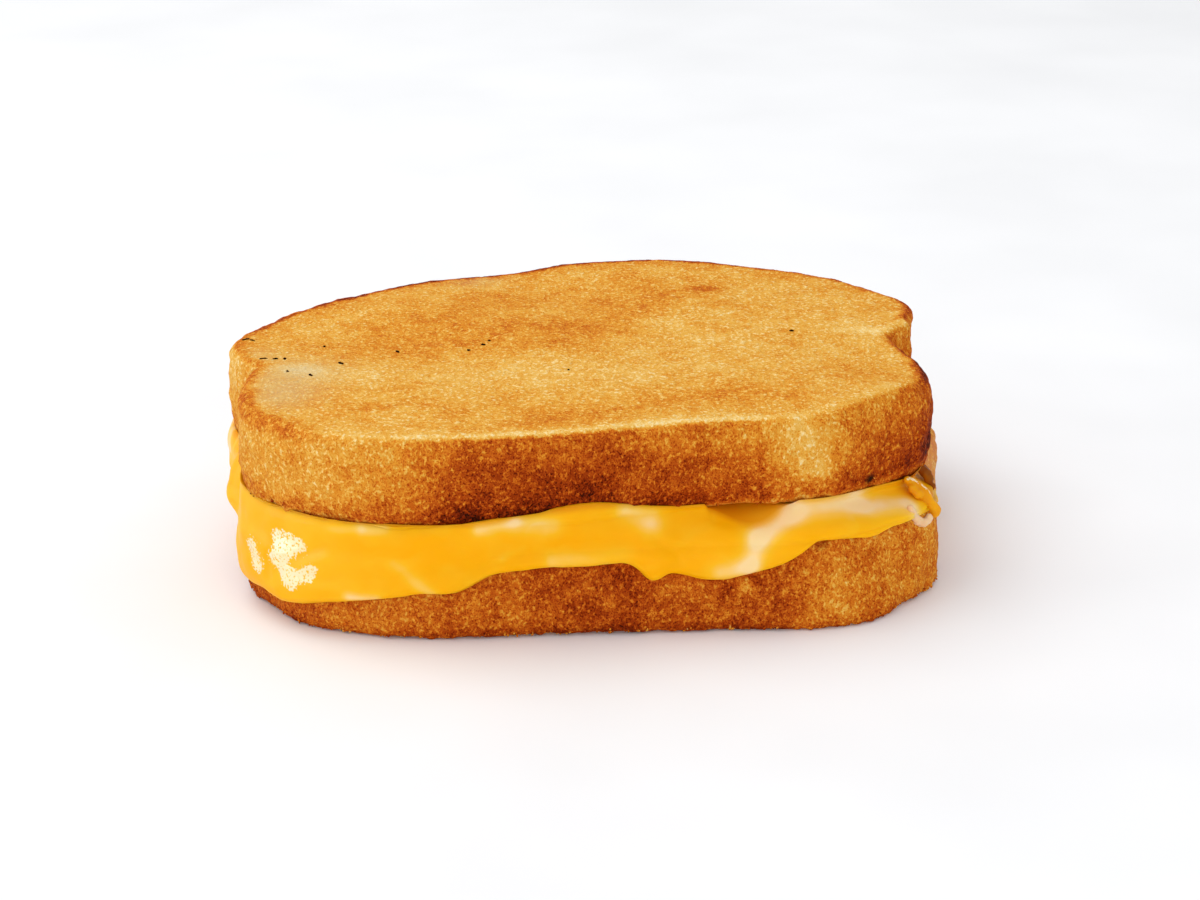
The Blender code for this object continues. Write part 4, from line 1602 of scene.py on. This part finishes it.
@dataclass
class CharSpecks:
    """Small charred bits pressed into the griddled face."""

    bread: UpperSlice
    name: str = "charred_specks"
    seed: int = 71
    thickness: float = 0.44
    fullness: float = 0.8
    unevenness: float = 0.05
    finish: PlainFinish = PlainFinish("charred_crumb", "#150803", "#40200e", size=0.8, shine=0.0)
    specks: tuple[Speck, ...] = each(
        Speck, (-63.4, 13, 2.2, 0.5, 20), (-62.2, 12.4, 1.6, 0.5, -40), (-56.9, 0.4, 0.8, 1.2),
        (-60.8, 1, 2, 0.4), (-58.6, 0.6, 1.4, 0.4), (-46.8, -3.5, 0.9, 1.9, 35), (-52.8, -9.7, 0.8, 1.6, 20),
        (-35.7, 2.9, 0.7, 1.3, 30), (-49, 7.3, 0.6, 1), (-22.6, 0.8, 0.9, 0.9), (-19.5, 2.9, 1, 1.3, 60),
        (-18.2, 4.6, 0.7, 0.8), (-56.8, -7.2, 0.6, 0.7), (39.3, 0.6, 1.2, 0.8), (-6, -14, 0.6, 0.7),
    )

    def build(self) -> None:
        """Press each speck into the face."""
        draw = np.random.default_rng(self.seed)
        builder = bmesh.new()
        for speck in self.specks:
            start = Vector((speck.x * MM, speck.y * MM, 1.0))
            height = self.bread.piece.ray_cast(start, Vector((0.0, 0.0, -1.0)))[1].z
            place = Matrix.Translation(Vector((start.x, start.y, height)))
            turn = Matrix.Rotation(np.radians(speck.turn), 4, "Z")
            half = 0.5 * Vector((self.fullness * speck.length, self.fullness * speck.width, self.thickness))
            size = Matrix.Diagonal(half.to_4d())
            made = bmesh.ops.create_icosphere(builder, subdivisions=2, radius=MM, matrix=place @ turn @ size)
            for vertex in made["verts"]:
                vertex.co += Vector(draw.normal(scale=self.unevenness * MM, size=3))
        dress(make_piece(self.name, builder), self.finish.material())


def face_from(thing: bpy.types.Object, middle: Triple, bearing: float, lift: float, distance: float) -> None:
    """Place a light or a camera so that it faces a point.

    Args:
        thing: The light or the camera.
        middle: The point in millimetres.
        bearing: Bearing from the point at which it stands.
        lift: Its angle above the table.
        distance: Its distance in millimetres.
    """
    turn, rise = np.radians(bearing), np.radians(lift)
    away = Vector((np.cos(turn) * np.cos(rise), np.sin(turn) * np.cos(rise), np.sin(rise)))
    thing.location = (Vector(middle) + away * distance) * MM
    thing.rotation_euler = away.to_track_quat("Z", "Y").to_euler()


@dataclass(frozen=True)
class Softbox:
    """A square soft light that faces the sandwich. One that doesn't shine shows only in glossy surfaces."""

    name: str
    bearing: float
    lift: float
    distance: float
    size: float
    power: float
    shines: bool = True

    def hang(self, middle: Triple) -> None:
        """Hang the light.

        Args:
            middle: Place that it faces, in millimetres.
        """
        data = bpy.data.lights.new(self.name, "AREA")
        data.shape = "SQUARE"
        data.size = self.size * MM
        data.energy = self.power
        light = new_object(self.name, data)
        light.visible_diffuse = self.shines
        face_from(light, middle, self.bearing, self.lift, self.distance)


@dataclass
class Studio:
    """A white table under soft light from all round: a key at the upper left, a fill and a glint for the oil.

    The camera stands on the photograph's side, with a long lens.
    """

    azimuth: float = -9.55
    elevation: float = 22.0
    distance: float = 527.5
    lens: float = 84.0
    target: Triple = (1.04, -6.96, 20.0)
    table_size: float = 8000.0
    board: PlainFinish = PlainFinish("white_painted_board", "#f3f4f6", "#f9fafc", size=60.0)
    dome: float = 0.78
    middle: Triple = (0.0, 0.0, 20.0)
    lights: tuple[Softbox, ...] = each(
        Softbox, ("key", 160, 60, 900, 700, 3.4), ("fill", 266, 5, 900, 700, 2),
        ("glint", 186, 20, 800, 900, 26, False),
    )

    def lay_table(self) -> None:
        """Lay the plain white table that the sandwich stands on."""
        builder = bmesh.new()
        bmesh.ops.create_grid(builder, x_segments=1, y_segments=1, size=0.5 * self.table_size * MM)
        table = make_piece("table", builder)
        table.data.materials.append(self.board.material())

    def light(self) -> None:
        """Light the scene with an even white dome and the softboxes."""
        world = bpy.data.worlds.new("white_dome")
        world.use_nodes = True
        background = world.node_tree.nodes["Background"]
        background.inputs["Color"].default_value = linear("#ffffff")
        background.inputs["Strength"].default_value = self.dome
        bpy.context.scene.world = world
        for softbox in self.lights:
            softbox.hang(self.middle)

    def place_camera(self) -> None:
        """Look at the sandwich from the photograph's side."""
        data = bpy.data.cameras.new("camera")
        data.lens = self.lens
        camera = new_object("camera", data)
        face_from(camera, self.target, self.azimuth - 90.0, self.elevation, self.distance)
        bpy.context.scene.camera = camera

    def build(self) -> None:
        """Set up the table, the lights and the camera, with colours shown as they are."""
        self.lay_table()
        self.light()
        self.place_camera()
        bpy.context.scene.view_settings.view_transform = "Standard"
        log.info("studio: table, dome, %d softboxes, camera", len(self.lights))


LOAF_SWELLS = each(
    Swell, (58.1, 13.2, 2), (96.3, 8.5, -1.7), (134.9, 9.2, -0.9), (164.8, 11, 3.9), (194.8, 8.3, 3.6),
    (208.9, 18.2, -4), (306.5, 9.3, 2.5), (322.6, 6, -0.8),
)
LOWER_SWELLS = LOAF_SWELLS + (Swell(6.0, 9.0, -0.4), Swell(339.0, 13.0, 1.8))
UPPER_SWELLS = LOAF_SWELLS + (Swell(338.0, 10.0, 1.4), Swell(357.6, 2.6, 4.9), Swell(9.5, 5.0, 1.9))
SLICE_TURN = 3.25
SLICE_X = 1.82
SLICE_Y = 0.61
UPPER_FLOOR = 22.1


def measured_shift(bread: BreadSlice) -> np.ndarray:
    """How far the sandwich's own middle lies from the row frame's origin.

    Args:
        bread: A slice with no shift yet.

    Returns:
        The shift in millimetres, found by setting the slice's box against its solid's.
    """
    points = np.concatenate(bread.rings())
    own = 0.5 * (points.min(axis=0) + points.max(axis=0))
    low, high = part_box(bread.node)
    solid = 0.5 * (np.array(low) + np.array(high)) / MM
    return np.array((own[0] - solid[0], own[1] - solid[1], 0.0))


def main() -> None:
    """Build the sandwich and the studio, and report each piece."""
    logging.basicConfig(level=logging.INFO, format="%(name)s %(message)s")
    lower = LowerSlice(
        name="lower_slice",
        node="bread_bottom",
        slot=Slot.LOWER_TOAST,
        lie=Lie(-SLICE_TURN, SLICE_X, -SLICE_Y, 0.0),
        outline=LoafOutline(LOWER_SWELLS),
        bellies=(Swell(350.0, 24.0, -1.0), Swell(10.0, 12.0, -0.4)),
        finish=ToastFinish("fried_bread_crust_deep_brown", dusty="#dd9c78"),
        shift=np.zeros(3),
        seed=11,
        lumps=(Patch(-3.4, -45.9, 6.8, 1.3, 0.55), Patch(-1.6, -46.0, 6.2, 0.7, -0.3)),
    )
    lower.shift = measured_shift(lower)
    log.info("shift of the row frame: %.3f %.3f mm", lower.shift[0], lower.shift[1])
    lower.build()
    upper = UpperSlice(
        name="upper_slice",
        node="bread_top",
        slot=Slot.UPPER_TOAST,
        lie=Lie(SLICE_TURN, -SLICE_X, SLICE_Y, UPPER_FLOOR),
        outline=LoafOutline(UPPER_SWELLS),
        bellies=(Swell(6.0, 10.0, -1.9), Swell(333.0, 20.0, 0.6), Swell(185.0, 28.0, -0.9)),
        finish=ToastFinish("griddled_bread_golden"),
        shift=lower.shift,
        seed=21,
        lumps=(Patch(44.8, -38.2, 24.1, 0.8, 0.30),),
    )
    upper.build()
    CheeseLayer(upper, lower, CheeseFinish()).build()
    MeltedBit(
        "fried_cheese_lobe",
        each(
            Bead, (53.4, -33.5, 21.2, 0.82), (54.1, -33.6, 20.8, 1), (54.8, -33.8, 20.2, 1.15),
            (55.3, -34.1, 19.7, 1.24), (55.8, -34.5, 19.2, 1.28), (56.3, -34.8, 18.7, 1.28),
            (56.6, -35.1, 18.2, 1.19), (57, -35.3, 17.7, 1.1), (57.4, -35.3, 17.1, 1.06),
            (58, -35.2, 16.2, 1.13), (58.5, -35, 15.5, 1.2), (58.5, -34.9, 14.9, 1.05), (54.1, -35, 20, 0.95),
            (54.9, -35.8, 19.2, 0.95), (55.8, -35.6, 17.1, 0.77), (57, -35, 15.8, 0.77),
        ),
        pale=0.15,
        amber=0.40,
        oil=0.20,
        softening=10,
        lumpiness=0.04,
        # The glint line along the lobe's top edge, a painted highlight
        glints=each(
            Streak, ((53, -34.2, 21.9), (54.4, -34.4, 21.9), 0.45, 0.75),
            ((54.4, -34.4, 21.8), (56.1, -35, 20.8), 0.45, 0.7),
            ((56.1, -35, 20.8), (57.6, -35.6, 19.2), 0.4, 0.6),
        ),
    ).build()
    MeltedBit(
        "milky_curl",
        each(
            Bead, (52.4, -39.6, 18.3, 0.61), (52.7, -39.5, 17.7, 0.69), (53.1, -39.4, 17.1, 0.76),
            (53.6, -39.3, 16.2, 0.82), (54.2, -38.9, 15.4, 0.87), (54.9, -38.5, 14.8, 0.87),
            (55.6, -38.2, 14.6, 0.87), (56.3, -37.7, 14.6, 0.84), (56.7, -37.3, 15, 0.77),
        ),
        pale=1.0,
        amber=0.04,
        oil=0.25,
        voxel=0.18,
        softening=4,
        finish=CheeseFinish("pale_cheese_thread", marbling=((0.0, "#f2a93c"), (1.0, "#efc79b")), glow=0.2),
    ).build()
    MeltedBit(
        "fried_cheese_crust",
        each(
            Bead, (57.4, -26.8, 20.8, 0.7), (58, -26.5, 20.2, 0.9), (58.4, -26.9, 19.8, 0.95),
            (58.7, -27, 19.3, 1), (59, -27.4, 18.8, 0.95), (59.3, -27.6, 18.3, 0.93),
            (59.8, -28.2, 17.3, 0.7), (57.8, -25.4, 20.6, 0.8), (58.5, -25.3, 19.9, 0.9),
            (59.2, -25.8, 19.2, 0.85), (59.7, -26.8, 18.4, 0.75),
        ),
        pale=0.0,
        amber=0.95,
        oil=0.2,
        softening=2,
        lumpiness=0.22,
        finish=CheeseFinish("fried_cheese_brown", amber="#8a4a10", glow=0.1),
    ).build()
    Crumbs("crumbs_on_lower_slice", lower, count=420, seed=81).build()
    Crumbs("crumbs_on_upper_slice", upper, count=200, seed=82).build()
    CharSpecks(upper).build()
    Studio().build()


if __name__ == "__main__":
    main()
